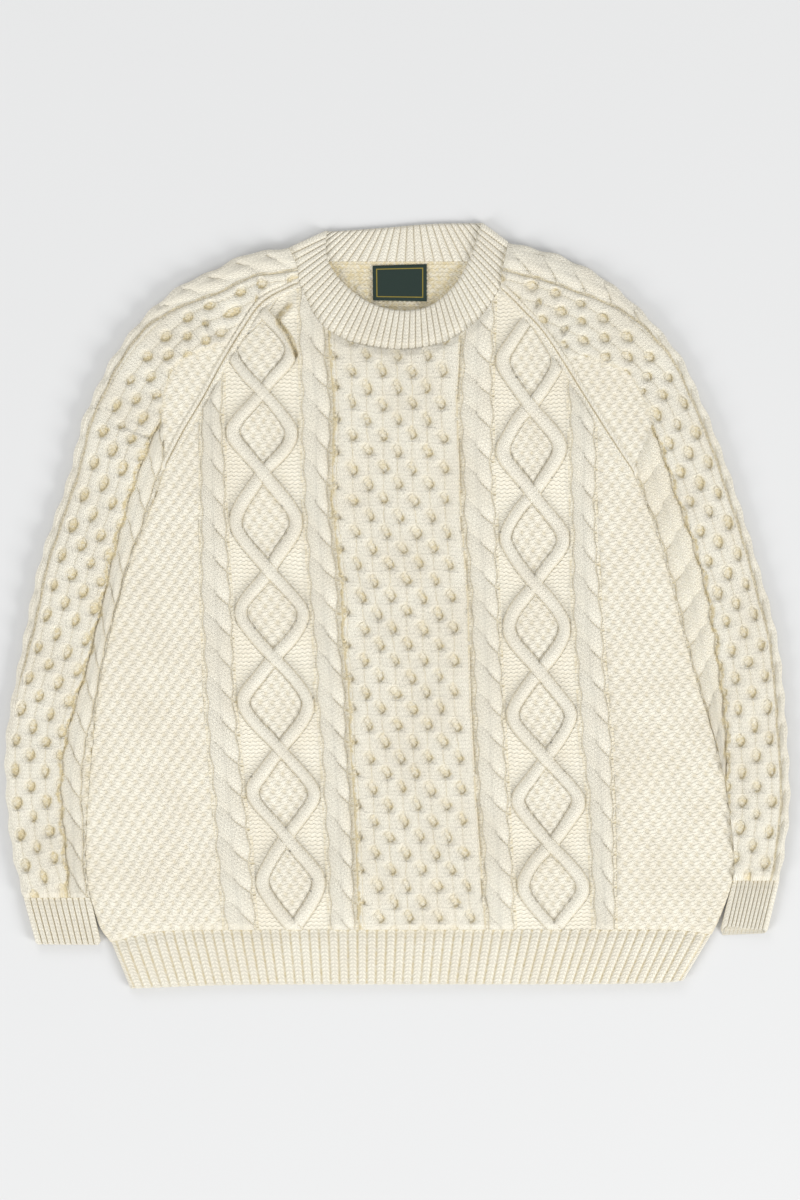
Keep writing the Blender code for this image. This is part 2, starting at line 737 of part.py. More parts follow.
def make_label():
    """A woven label on the inner side of the back, just under the neckband."""
    wall = Wall()
    corners = []
    for point in LABEL[::-1]:
        corners.append(wall.point((*point, UPPER_Z + LABEL_THICKNESS), (*point, UPPER_Z)))
    wall.faces.append(tuple(corners))
    wall.solid("neck_label", GREEN)


def main():
    for old in list(bpy.data.objects):
        bpy.data.objects.remove(old)
    make_front()
    make_back()
    make_hem("hem_rib_front", True)
    make_hem("hem_rib_back", False)
    for side in SIDES:
        make_sleeve(side)
        make_cuff(side)
    make_neckband()
    make_label()


if __name__ == "__main__":
    main()
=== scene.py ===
"""An Aran pullover with raglan sleeves, laid flat on its back: its knitting, wool and label.

Tables and heights are in millimetres and agree with the part's solids. Meshes are made in metres.
+X is the wearer's left, +Y runs from the hem to the neck, and the garment rests on z = 0.
"""

import math
from collections import namedtuple

import bpy
import numpy as np
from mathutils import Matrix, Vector
from mathutils.geometry import delaunay_2d_cdt
from mathutils.kdtree import KDTree


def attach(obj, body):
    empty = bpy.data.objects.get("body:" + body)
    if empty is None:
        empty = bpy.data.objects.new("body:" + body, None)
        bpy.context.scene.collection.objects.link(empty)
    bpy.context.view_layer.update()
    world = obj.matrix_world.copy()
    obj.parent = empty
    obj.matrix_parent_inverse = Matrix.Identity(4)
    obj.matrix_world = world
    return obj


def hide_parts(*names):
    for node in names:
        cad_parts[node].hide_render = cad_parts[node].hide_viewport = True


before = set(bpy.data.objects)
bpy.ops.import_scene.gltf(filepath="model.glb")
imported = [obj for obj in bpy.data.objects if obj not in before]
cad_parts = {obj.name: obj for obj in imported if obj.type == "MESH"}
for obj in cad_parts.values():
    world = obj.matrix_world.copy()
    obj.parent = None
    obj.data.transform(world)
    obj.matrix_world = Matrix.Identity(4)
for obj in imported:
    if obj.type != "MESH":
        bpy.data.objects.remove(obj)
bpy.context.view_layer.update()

bl_info = {
    "name": "Aran pullover",
    "version": (1, 0, 0),
    "blender": (4, 5, 0),
    "location": "View3D > Sidebar > Pullover",
    "description": "Knits the panels, sleeves, ribs and label of a cable pullover laid flat",
    "category": "Add Mesh",
}

MM = 0.001
GAP = 0.3
SEAM = 0.05  # half of what shows between two pieces that are sewn together
BACK_WALL = 3.4
UPPER_Z = BACK_WALL + GAP
FRONT_WALL = 3.0
SLEEVE_UNDER_WALL = 3.1
SLEEVE_FOLD = 4.5
SLEEVE_CLEARANCE = 0.5
RIB_WALL = 2.4
RIB_FOLD = 3.5
LABEL_THICKNESS = 0.6
STITCH_ROW = 3.76
TWIST = 8 * STITCH_ROW
CROSSING_STEP = 84  # from one crossing of a diamond panel to the next, on average
DIAMOND_STRAND = 5.6
HOLE_PITCH = 13.8
FIRST_HOLE = 0.6
FAR = 9.0  # this far from the side of a strand, no line shows
GRID_CLEARANCE = 0.55  # how near a grid of quads comes to its outline, in cells
HEM_RIBS = 62
HEM_RIB_WIDTH = 8.8
CUFF_RIBS = 10
BAND_FRONT_RIBS = 47
BAND_BACK_RIBS = 24

# Borders of the stitch panels on the front: each column says where that panel starts, from -X to +X.
Panels = namedtuple("Panels", "y cable_a diamond_a cable_b honeycomb cable_c diamond_b cable_d moss")
PANELS = (
    Panels(-305, -164, -129.5, -65, -36, 83.5, 112.5, 182, 206.5),
    Panels(-182, -175, -141, -71, -41, 74, 106, 176, 204.5),
    Panels(-88, -182, -150.5, -76.5, -47.5, 69, 101, 168, 199),
    Panels(6, -186, -154, -83.5, -53, 66.5, 96.5, 162, 192),
    Panels(100, -186.5, -159.5, -90.5, -61.5, 59.5, 92.5, 160.5, 187.5),
    Panels(194, -186, -161, -92.5, -60.5, 56, 91, 158, 187.5),
    Panels(300, -186, -161, -95, -69, 62, 94, 157, 187.5),
)
CROSSINGS_A = (278, 201, 125, 33, -48, -135, -216, -302)
CROSSINGS_B = (272, 189, 105, 22, -62, -143, -223, -304)
HOLE_START = 281
FIRST_COLUMN = 0.16
COLUMN_STEP = 0.1185
CREASE = ((-101, 282), (-112, 268), (-103, 254), (-95, 236))

HEM_SEAM = (
    (-268.5, -315.5), (-235, -307), (-190, -304), (0, -303.5), (200, -303.5), (262, -304), (294.5, -308),
)
HEM_FREE = (
    (-250.5, -359), (-225, -358), (-150, -355.5), (0, -355), (150, -355), (240, -354), (268.5, -351.5),
)
NECK_FRONT = (
    (-92.5, 303.5), (-75, 269), (-54, 252), (-26, 243.5), (2, 240.5), (27, 243),
    (49.5, 250), (78, 271), (96.5, 299),
)
NECK_BACK = ((-71, 323.5), (3, 323.5), (78, 323.5))
BAND_FREE_FRONT = (
    (-66.5, 351.5), (-65.5, 325), (-49.5, 302), (-26, 285), (2.5, 277.5), (30.5, 282),
    (54, 302), (69, 329), (79, 359.5),
)
BAND_FREE_BACK = ((-66.5, 351.5), (-16, 355), (32, 359), (79, 359.5))
LABEL = ((-23.5, 319.5), (27.5, 321), (27.5, 286), (-23, 287))
LABEL_SIZE = (51, 34)

# The part of the back's inner side that shows in the neck opening, and is knitted finely.
NECK_WINDOW = (
    (-104, 236), (104, 236), (104, 250), (90, 300), (78, 322), (-71, 322), (-84, 300), (-104, 250),
)

# One side of the garment. body: the panels' side edge, from the hem up to the armpit. raglan and back_raglan:
# the sleeve's seams. neck and back_neck: its end at the neckband, out to its fold. fold: its outer fold, down
# to the cuff. gutter: the inner border of its honeycomb. patch: the border of the plain patch above that.
# strip: height, and how far the honeycomb starts from the fold there. cuff, under_cuff: the free edges' ends.
Side = namedtuple(
    "Side", "name sign body raglan back_raglan neck back_neck fold gutter patch strip cuff under_cuff"
)
SIDES = (
    Side(
        name="right",
        sign=-1,
        body=(
            (-268.5, -315.5), (-281, -296), (-291, -250), (-290.5, -200), (-287, -150), (-282, -100),
            (-274.5, -50), (-262, 0), (-247, 50), (-229, 95), (-217, 132),
        ),
        raglan=(
            (-217, 132), (-200, 165), (-182, 195), (-163, 230), (-144.5, 260), (-125, 286), (-92.5, 303.5),
        ),
        back_raglan=((-217, 132), (-146, 228), (-71, 323.5)),
        neck=((-92.5, 303.5), (-94, 318), (-102, 336.5)),
        back_neck=((-71, 323.5), (-90, 324.5), (-98.5, 327.5), (-102, 336.5)),
        fold=(
            (-102, 336.5), (-122, 333.5), (-145, 329), (-175, 314), (-206, 299), (-240, 269),
            (-268.5, 231), (-287, 193.5), (-296, 172), (-309.5, 118.5), (-335, 43), (-351, -32),
            (-365, -107), (-368, -150), (-363, -220), (-351, -273.5),
        ),
        gutter=(
            (-221, 178), (-242, 130), (-261, 70), (-275, 15), (-290, -50), (-309, -115), (-316, -172),
            (-309, -268),
        ),
        patch=((-168, 246), (-205, 228), (-217, 205), (-221, 178)),
        strip=((-100, 2), (0, 10), (150, 12), (230, 18), (330, 22)),
        cuff=((-278, -318), (-339, -317.5)),
        under_cuff=((-278, -317), (-339, -316)),
    ),
    Side(
        name="left",
        sign=1,
        body=(
            (294.5, -308), (303, -290), (314, -255), (314, -222), (306, -162), (293.5, -114),
            (281, -75), (268, -28), (256, 20), (243, 67), (221, 126),
        ),
        raglan=((221, 126), (199, 159), (170.5, 204), (155.5, 228.5), (137, 256.5), (117, 278), (96.5, 299)),
        back_raglan=((221, 126), (150, 226), (78, 323.5)),
        neck=((96.5, 299), (98.5, 316), (104, 341.8)),
        back_neck=((78, 323.5), (94, 325.5), (101.5, 331.5), (104, 341.8)),
        fold=(
            (104, 341.8), (125, 336), (149, 330), (183, 314), (204.5, 299), (236.5, 269),
            (267.5, 231), (284.5, 193.5), (293.5, 173), (313.5, 118.5), (337, 43), (356.5, -32),
            (364.5, -107), (368, -180), (364.5, -220), (358.5, -257.5),
        ),
        gutter=((239, 171), (264, 99), (288, 26), (296, -18), (302, -54), (306, -90), (309, -125)),
        patch=((176, 234), (214, 219), (230, 196), (239, 171)),
        strip=((-150, 9), (50, 8), (194, 8), (250, 16), (330, 27)),
        cuff=((304, -300), (347, -304.5)),
        under_cuff=((302, -309.5), (347, -307.5)),
    ),
)

# Soft hollows and swells of the loose cloth: x, y, reach across, reach along, turn in degrees, height.
DRAPE = (
    (-40, 150, 90, 34, 12, 0.9), (120, 60, 60, 90, -20, -0.8), (-190, -60, 40, 120, 8, 0.9),
    (-110, -180, 70, 60, 30, -0.9), (60, -120, 50, 110, -10, 0.8), (210, -180, 46, 100, 10, 0.9),
    (170, 150, 60, 40, 40, 0.8), (-240, -200, 30, 80, 10, -0.7), (0, -250, 120, 24, 2, 0.8),
    (250, -60, 26, 90, 14, -0.7), (-130, 215, 40, 26, 55, 1.0), (-60, 20, 34, 80, 5, -0.7),
)

# The stage, in metres: each light's name, place, width and power, and the camera.
LIGHTS = (
    ("window_light", (4.2, -2.8, 2.6), 2.4, 225),
    ("fill_light", (-4.3, -3.2, 3.0), 2.8, 185),
    ("back_light", (-1.3, 4.4, 3.4), 2.4, 55),
)
ROOM_LIGHT = 0.66
FLOOR_REACH = 4
CAMERA_PLACE = (0.00235, 0.00564, 3.0)
CAMERA_LENS = 95.74


# Curves and distances, all on arrays of points.


def smooth(points, steps=2):
    """A Catmull-Rom curve through the points, cut into this many pieces a span."""
    knots = np.array(points, float)
    knots = np.vstack([2 * knots[0] - knots[1], knots, 2 * knots[-1] - knots[-2]])
    curve = []
    for a, b, c, d in zip(knots, knots[1:], knots[2:], knots[3:]):
        for t in np.arange(steps) / steps:
            bend, twist = 2 * a - 5 * b + 4 * c - d, 3 * b - a - 3 * c + d
            curve.append(b + 0.5 * ((c - a) * t + bend * t**2 + twist * t**3))
    return np.array(curve + [knots[-2]])


def lengths_along(curve):
    """How far along the curve each of its points is."""
    return np.concatenate([[0.0], np.cumsum(np.linalg.norm(np.diff(curve, axis=0), axis=1))])


def resampled(curve, count, trim=0.0):
    """The curve as this many equal pieces, with this much cut off each end."""
    along = lengths_along(curve)
    at = np.linspace(trim, along[-1] - trim, count + 1)
    return np.column_stack([np.interp(at, along, column) for column in curve.T])


def spaced(curve, step):
    """The curve in equal pieces of about this length."""
    return resampled(curve, max(1, int(round(lengths_along(curve)[-1] / step))))


def normals_left(curve):
    """The way square to the curve at each point, to the left of its direction."""
    ends = np.vstack([curve[:1], curve, curve[-1:]])
    along = ends[2:] - ends[:-2]
    along /= np.linalg.norm(along, axis=1)[:, None]
    return np.column_stack([-along[:, 1], along[:, 0]])


def shifted(curve, distance):
    """The curve moved sideways, to the left of its direction where the distance is positive."""
    return curve + normals_left(curve) * np.reshape(distance, (-1, 1))


def above(curve, y):
    """The part of a rising curve above this height."""
    kept = curve[curve[:, 1] > y + 1]
    below = curve[len(curve) - len(kept) - 1]
    share = (y - below[1]) / (kept[0, 1] - below[1])
    return np.vstack([below + (kept[0] - below) * share, kept])


def nearest(x, y, curve):
    """Distance from each point to the curve, and how far along the curve the nearest place is."""
    a, step = curve[:-1], np.diff(curve, axis=0)
    squares = (step**2).sum(1)
    along = lengths_along(curve)
    reach = np.sqrt(squares)
    best = np.empty(len(x))
    place = np.empty(len(x))
    for first in range(0, len(x), 20000):
        part = slice(first, first + 20000)
        dx = x[part, None] - a[None, :, 0]
        dy = y[part, None] - a[None, :, 1]
        share = np.clip((dx * step[:, 0] + dy * step[:, 1]) / squares, 0, 1)
        away = np.hypot(dx - share * step[:, 0], dy - share * step[:, 1])
        pick = away.argmin(1)
        rows = np.arange(len(pick))
        best[part] = away[rows, pick]
        place[part] = along[pick] + share[rows, pick] * reach[pick]
    return best, place


def away_from(x, y, line, steps=4):
    """Distance from each point to the smooth curve through a line's points."""
    return nearest(x, y, smooth(line, steps))[0]


def inside(x, y, outline):
    """Whether each point lies inside the closed outline."""
    crossings = np.zeros(len(x), int)
    for a, b in zip(outline, np.roll(outline, -1, axis=0)):
        if a[1] != b[1]:
            spans = (a[1] > y) != (b[1] > y)
            crossings += spans & (x < a[0] + (y - a[1]) * (b[0] - a[0]) / (b[1] - a[1]))
    return crossings % 2 == 1


def ramp(value, low, high):
    """0 below low and 1 above high, with soft ends."""
    t = np.clip((value - low) / (high - low), 0, 1)
    return t * t * (3 - 2 * t)


def dome(share, power=2.4, edge=0.8):
    """1 on the middle line of a strand and 0 at its two sides."""
    return (1 - np.minimum(np.abs(share), 1) ** power) ** edge


def rounded(distance, radius):
    """0 at an edge and 1 from this radius inwards, along a quarter circle."""
    return np.sqrt(1 - (1 - np.clip(distance / radius, 0, 1)) ** 2)


def wobble(x, y, reach, seed):
    """An uneven field between about -1 and 1, as one hand's tension varies over this many millimetres."""
    random = np.random.default_rng(seed)
    total = np.zeros_like(x)
    for _ in range(5):
        angle, phase = random.uniform(0, 2 * math.pi, 2)
        wave = 2 * math.pi / (reach * random.uniform(0.7, 1.5))
        total = total + np.sin((x * math.cos(angle) + y * math.sin(angle)) * wave + phase)
    return total / 3


def swayed(x, y, across, along):
    """Places as uneven tension moves them. across and along each hold how far, the reach and the seed."""
    return x + across[0] * wobble(x, y, *across[1:]), y + along[0] * wobble(x, y, *along[1:])


# Stitch patterns. Each reads places (x, y) in the cloth and says what the knitting does there. Where the
# answer depends on which strand a place is on, face_x and face_y choose it, so a face keeps to one strand.

# The last field is how much shade the wool's material paints on a place: painted shade where the cloth lies low,
# in creases, gutters and holes. The material also paints shade where the rise is low.
FIELDS = ("rise", "u", "v", "rim", "lap", "moss", "purl", "deep_shade")


def plain(x):
    """Cloth with nothing on it: no rise, and far from the edge of any strand."""
    cloth = {name: np.zeros_like(x) for name in FIELDS}
    cloth["rim"] += FAR
    cloth["lap"] += FAR
    return cloth


def put(cloth, where, found):
    """Fills these places with fields that were worked out for them alone."""
    for name, value in found.items():
        cloth[name][where] = value


def choose(cloth, where, found, names=FIELDS):
    """Fills these places with fields that were worked out for all places."""
    for name in names:
        cloth[name] = np.where(where, found[name], cloth[name])


def moss_filling(x, y, height):
    """Moss stitch with every field filled in."""
    return {**plain(x), **moss(x, y, height)}


def cable(x, down, face_x, face_down, half_width, height=6.2, crease=(-0.4, 0.4)):
    """Two strands twisted round each other. down counts the twists along the cable.

    crease holds the places across the cable where the line between the strands starts to show and is full.
    """
    swell = 1 - 0.08 * np.cos(2 * math.pi * down)
    radius = half_width * swell
    share = x / radius
    face_share = face_x / (half_width * (1 - 0.08 * np.cos(2 * math.pi * face_down)))

    def slant(s):
        return 0.5 + 0.42 * np.sign(s) * np.minimum(np.abs(s), 1.2) ** 0.7

    turn = down - slant(share)
    face_turn = face_down - slant(face_share)
    steep = 0.3 * np.maximum(np.abs(share), 0.2) ** -0.3 / radius
    slope = np.hypot(steep, 1 / TWIST)
    across = turn - np.floor(turn)
    faded = np.where(face_turn < np.round(face_turn), -2.5, 2.5) * (1 - ramp(share, *crease))
    body = dome(share, 2.4, 0.7)
    strand = dome(2 * across - 1, 2.2, 0.75)
    return {
        "rise": height * body * (0.36 + 0.64 * strand),
        "u": 6 * turn,
        "v": 8 * down + 1.4 * share,
        "rim": radius - np.abs(x),
        "lap": (turn - np.round(face_turn)) / slope + faded,
        "moss": 0 * x,
        "purl": np.where(np.abs(face_share) < 1, 0.0, 1.0),
        # Painted shade along and just outside the cable's sides.
        "deep_shade": 0.4 * (1 - ramp(radius - np.abs(x), -2.5, 0.5)),
    }


def moss(x, y, height=2.1):
    """Irish moss: knit and purl change places every stitch and every second row."""
    u = x / 5.2
    v = y / (2 * STITCH_ROW)
    bead = 0.5 + 0.5 * np.cos(math.pi * u) * np.cos(math.pi * v)
    return {
        "rise": height * bead,
        "u": u + 0.5,
        "v": y / STITCH_ROW,
        "moss": 1 + 0 * x,
        # Painted shade between the beads.
        "deep_shade": 0.3 * (1 - bead) ** 2.5,
    }


def diamonds(x, y, face_x, face_y, half, crossings, height=5.2):
    """Two strands that cross and part again, with moss stitch between them and purl outside.

    x is measured from the panel's middle, and half is the panel's half width.
    """
    width = DIAMOND_STRAND
    spread = half - width - 0.8
    rows = np.array(crossings[::-1], float)
    counts = np.arange(len(crossings))[::-1].astype(float)

    def counted(at):
        """How many crossings lie above this height, going on evenly beyond the first and the last."""
        past = counts[0] + (rows[0] - at) / CROSSING_STEP
        count = np.where(at < rows[0], past, np.interp(at, rows, counts))
        return np.where(at > rows[-1], -(at - rows[-1]) / CROSSING_STEP, count)

    def strands(across, count):
        """The wave, straighter than a sine, its slope and lean, and how far away each strand is."""
        bend = 0.9 * np.sin(math.pi * count)
        reach = math.asin(0.9)
        wave, steep = np.arcsin(bend) / reach, 0.9 * np.cos(math.pi * count) / np.sqrt(1 - bend**2) / reach
        slope = -spread * math.pi * steep / CROSSING_STEP
        lean = np.sqrt(1 + slope**2)
        return wave, slope, lean, np.array([(across - sign * spread * wave) / lean for sign in (1, -1)])

    count, face_count = counted(y), counted(face_y)
    wave, slope, lean, away = strands(x, count)
    face_wave, _, _, face_away = strands(face_x, face_count)
    crossing = np.round(face_count)
    first_over = crossing % 2 == 0  # whether the first strand passes over at the crossing near this face
    near = np.exp(-(((count - crossing) / 0.13) ** 2))
    over_away, under_away = np.where(first_over, away, away[::-1])
    face_over, face_under = np.abs(np.where(first_over, face_away, face_away[::-1]))
    top = (height + 0.6 * near) * dome(over_away / width, 3.0, 0.85)
    below = (height - 1.7 * near) * dome(under_away / width, 3.0, 0.85)
    between = np.abs(x) < spread * np.abs(wave)
    filling = moss(x, y, 1.8)
    edge = np.abs(away).min(0) - width
    ground = np.where(between, (0.8 + filling["rise"]) * ramp(edge, -1.5, 2), 0.0)
    rise = np.maximum(np.maximum(top, below), ground)
    on_over = face_over < width
    on_under = (face_under < width) & ~on_over
    side = np.where(on_over, over_away, under_away)
    tilt = np.where(first_over, slope, -slope) * np.where(on_over, 1, -1)
    foot = y + side * tilt / lean
    on_strand = on_over | on_under
    off_crossing = (np.abs(face_count - crossing) > 0.3) & ~on_under
    face_between = np.abs(face_x) < spread * np.abs(face_wave)
    return {
        "rise": rise,
        "u": np.where(on_strand, side / 3.7 + 0.5, filling["u"]),
        "v": np.where(on_strand, foot * 1.2 / STITCH_ROW, y / STITCH_ROW),
        "rim": width - np.abs(away).min(0) + np.where(face_between, 0.6, 0.0),
        "lap": np.where(on_over | off_crossing, FAR, width - np.abs(over_away)),
        "moss": np.where(~on_strand & face_between, 1.0, 0.0),
        "purl": np.where(~on_strand & ~face_between, 1.0, 0.0),
        # Painted shade between the moss beads inside the diamond and lightly on the purl outside it, none on the
        # strands.
        "deep_shade": np.where(between, filling["deep_shade"], 0.1) * ramp(edge, -0.5, 2.5),
    }


def uneven(line, number, seed):
    """A steady random value from -1 to 1 for each hole."""
    return 2 * ((np.sin(line * 12.9898 + number * 78.233 + seed) * 43758.5453) % 1.0) - 1


def opening(line, along, period, lines):
    """Half the width of the hole in this column of holes here, 1 beside a hole, and the place along it.

    Along a hole, its ends are -1 and 1.
    """
    shift = (line % 2) / 2
    number = np.round(along / period - shift)
    t = along - (number + shift) * period + 0.9 * uneven(line, number, 1)
    size = np.where(line < lines[0] + lines[2], 0.4, 1.0) * ((line >= lines[0]) & (line <= lines[1]))
    width = (4.3 + 0.8 * uneven(line, number, 2)) * size
    length = (7.4 + 0.9 * uneven(line, number, 3)) * (0.4 + 0.6 * size)
    open_here = ramp(1 - np.abs(t) / length, -0.05, 0.2) * (size > 0)
    return width * np.maximum(0, 1 - np.abs(t / length) ** 2.2), open_here, t / length


def honeycomb(
    column, along, face_column, pitch, period, edges, lines, hand=1, hole_shade=0.27, lean=1.3, height=5.6
):
    """Strands that part round oval holes and touch between them. Holes run along each whole number of column.

    edges holds the outer sides of the first and the last strand. lines holds the first and the last column
    of holes, and how many of the first have only small holes. hand is -1 where columns count towards -X.
    tan is how strongly shade is painted in the holes, and lean how far their middles bend aside.
    """
    strand = np.floor(face_column)
    left_hole, left_open, left_t = opening(strand, along, period, lines)
    right_hole, right_open, right_t = opening(strand + 1, along, period, lines)
    left_lean, right_lean = (lean * hand * np.sin(math.pi * np.clip(t, -1, 1)) for t in (left_t, right_t))
    left = np.maximum(strand + (left_hole + left_lean) / pitch, edges[0])
    right = np.minimum(strand + 1 - (right_hole - right_lean) / pitch, edges[1])
    half = np.maximum((right - left) / 2 * pitch, 1.0)
    off = (column - (left + right) / 2) * pitch
    face_right = face_column > (left + right) / 2
    open_here = np.where(face_right, right_open, left_open)
    along_hole = np.where(face_right, right_t, left_t)
    number = np.where(face_right, strand + 1, strand)
    aside = np.where(face_right, right_lean, left_lean)
    outer = (face_column < edges[0]) | (face_column > edges[1])
    at_edge = np.where(face_right, right >= edges[1] - 0.02, left <= edges[0] + 0.02)
    open_here = np.where(at_edge, 1.0, open_here)
    shoulder = 0.74 * (1 - open_here)
    rise = height * (shoulder + (1 - shoulder) * dome(off / half, 3.0, 0.62))
    inward = np.abs(off) - half
    hollow_shade = ramp(inward, -0.8, 2.2)
    # Painted shade: a hole is darker down and to the right, where its wall keeps the light off.
    away = (column - number) * pitch * hand / 4
    shade_side = np.clip(0.6 * away + 0.65 * along_hole, -1, 1)
    shade = hole_shade * (1.1 + 0.35 * uneven(number, np.round(along / period - (number % 2) / 2), 5) + 0.6 * shade_side)
    shade = np.where(at_edge, 0.5, np.maximum(shade, 0))
    # The shadow of the hole's wall, painted as a dark curved band just inside its lower right edge.
    shadow_crescent = ramp(shade_side, -0.2, 0.5) * open_here
    rim = ramp(inward, -0.5, 0.6) * (1 - ramp(inward, 1.4, 3.0)) * shadow_crescent
    rim = np.where(at_edge, 0.0, 1.9 * hole_shade * rim)
    # The line round the hole's lower side, a groove in the bump with painted shade in it, thins out to nothing.
    border = np.where(inward < 0, 4 * inward, inward) - 0.8
    border = border + np.where(border < 0, -FAR, FAR) * (1 - shadow_crescent)
    border = np.where(open_here > 0.05, border, FAR)
    return {
        "rise": np.where(outer, 0.0, np.maximum(rise, 2.5)),
        "u": off / 3.5 + 0.5,
        "v": along / STITCH_ROW,
        "rim": np.where(at_edge, half - np.abs(off), border),
        "lap": (column - number) * pitch - aside + np.where(face_right, -1, 1) * (0.7 + 4 * open_here),
        # Painted shade in the holes, along their lower right edges and on the sides of the strands.
        "deep_shade": hollow_shade * open_here * shade + rim + 0.14 * (1 - dome(off / half)),
        "purl": np.where(np.abs(off) > half + 0.3, 0.5, 0.0),
    }


def seam_rope(distance, along, height=3.4):
    """The knit column that stands up along each side of a raglan seam."""
    share = (distance - 2.2) / 2.3
    body = dome(share, 2.2, 0.8)
    return {
        **plain(distance),
        "rise": height * np.where(share < 0, 0.55 + 0.45 * body, body),
        "u": share * 0.5 + 0.5,
        "v": along / 3.9,
        # Painted shade in the seam and in the groove beside the rope.
        "deep_shade": 0.45 * (1 - ramp(distance, 0.2, 1.3)) + 0.3 * (1 - ramp(np.abs(distance - 4.9), 0.2, 1.3)),
    }


def along_seam(cloth, seam, x, y, face_x, face_y):
    """Ends a pattern at a seam: a rope of stitches beside it, and the pattern sinking down to that."""
    distance, along = nearest(x, y, seam)
    face_distance, _ = nearest(face_x, face_y, seam)
    rope = seam_rope(distance, along)
    fade = ramp(distance, 3.9, 7.5)
    beside = np.maximum(rope["rise"], 1.3 * (1 - ramp(distance, 5, 7)))
    cloth["rise"] = np.where(distance < 20, np.maximum(cloth["rise"] * fade, beside), cloth["rise"])
    choose(cloth, face_distance < 5.0, rope, FIELDS[1:])


def panel_borders(y):
    """The eight borders between the stitch panels, at these heights."""
    rows = np.array(PANELS, float)
    return [np.interp(y, rows[:, 0], rows[:, column]) for column in range(1, 9)]


def drape(x, y):
    """How far the loose cloth stands above or below its own level."""
    total = np.zeros_like(x)
    for at_x, at_y, reach, length, turn, height in DRAPE:
        angle = math.radians(turn)
        dx, dy = x - at_x, y - at_y
        a = (dx * math.cos(angle) + dy * math.sin(angle)) / reach
        b = (dy * math.cos(angle) - dx * math.sin(angle)) / length
        total += 1.6 * height * np.exp(-(a**2) - b**2)
    return total


def body_stitches(x, y, face_x, face_y):
    """The panels of the front, which the back repeats."""
    tension = (1.1, 48, 3), (1.2, 44, 4)
    (x, y), (face_x, face_y) = swayed(x, y, *tension), swayed(face_x, face_y, *tension)
    at, face_at = panel_borders(y), panel_borders(face_y)
    panel = sum((face_x > border).astype(int) for border in face_at)
    cloth = plain(x)

    def around_middle(here, number):
        """Places across a panel from its middle, its half width, and the same places of their faces."""
        left, right = at[number - 1][here], at[number][here]
        face_middle = (face_at[number - 1][here] + face_at[number][here]) / 2
        return x[here] - (left + right) / 2, (right - left) / 2, face_x[here] - face_middle

    for number, border, hand in ((0, 0, -1), (8, 7, 1)):
        here = panel == number
        inward = hand * (x[here] - at[border][here])
        found = moss(inward - 2.6, y[here])
        found["rise"] = (found["rise"] + 1.0) * ramp(inward, 0, 3.2)
        put(cloth, here, found)
    for order, number in enumerate((1, 3, 5, 7)):
        here = panel == number
        across, half, face_across = around_middle(here, number)
        phase = PANELS[-1].y - TWIST * order / 4
        down, face_down = (phase - y[here]) / TWIST, (phase - face_y[here]) / TWIST
        found = cable(across, down, face_across, face_down, half - 3.4)
        found["rise"] = np.maximum(found["rise"], 1.5)
        put(cloth, here, found)
    for number, crossings in ((2, CROSSINGS_A), (6, CROSSINGS_B)):
        here = panel == number
        across, half, face_across = around_middle(here, number)
        put(cloth, here, diamonds(across, y[here], face_across, face_y[here], half, crossings))
    here = panel == 4
    width = at[4][here] - at[3][here]
    face_width = face_at[4][here] - face_at[3][here]
    column = ((x[here] - at[3][here]) / width - FIRST_COLUMN) / COLUMN_STEP
    face_column = ((face_x[here] - face_at[3][here]) / face_width - FIRST_COLUMN) / COLUMN_STEP
    found = honeycomb(
        column, HOLE_START - y[here], face_column, COLUMN_STEP * width, TWIST,
        (-FIRST_COLUMN / COLUMN_STEP + 0.8 / (COLUMN_STEP * width), 7.03), (-1, 6, 1),
    )
    # A wavy gutter with painted shade in it parts the honeycomb from the cable on its -X side.
    into = x[here] - at[3][here] - 1.2 + 1.7 * np.sin(2 * math.pi * y[here] / TWIST) ** 3
    found["deep_shade"] = np.maximum(found["deep_shade"], 0.95 * (1 - ramp(np.abs(into), 1.0, 2.4)))
    found["rise"] = np.maximum(found["rise"], 2.0 * (1 - ramp(into, 1.5, 3.0)))
    found["purl"] = np.maximum(found["purl"], 1 - ramp(into, 1.2, 2.2))
    put(cloth, here, found)
    return cloth


def soften(cloth, line, x, y, reach, share):
    """Lets the relief sink towards a seam."""
    cloth["rise"] *= share + (1 - share) * ramp(away_from(x, y, line), 0, reach)


# Meshes: a grid of quads that follows the stitches, joined to an outline by a band of triangles.


def owned_by_first(points, edges, rings):
    """Triangles inside the first of these rings and outside the others, and each new point's old numbers."""
    _, _, triangles, origins, _, owners = delaunay_2d_cdt(points, edges, rings, 0, 1e-4, True)
    return [[origins[k][0] for k in face] for face, owner in zip(triangles, owners) if list(owner) == [0]]


def closed_edges(first, count):
    """Edges round a ring of points with these numbers."""
    return [(first + k, first + (k + 1) % count) for k in range(count)]


def wall(ring, other, flip=False):
    """Quads between two closed rings of points."""
    quads = np.column_stack([ring, np.roll(ring, -1), np.roll(other, -1), other])
    return quads[:, [1, 0, 3, 2]] if flip else quads


def cap(first, count):
    """One flat face over a ring of points, seen from below."""
    return [list(range(first + count - 1, first - 1, -1))]


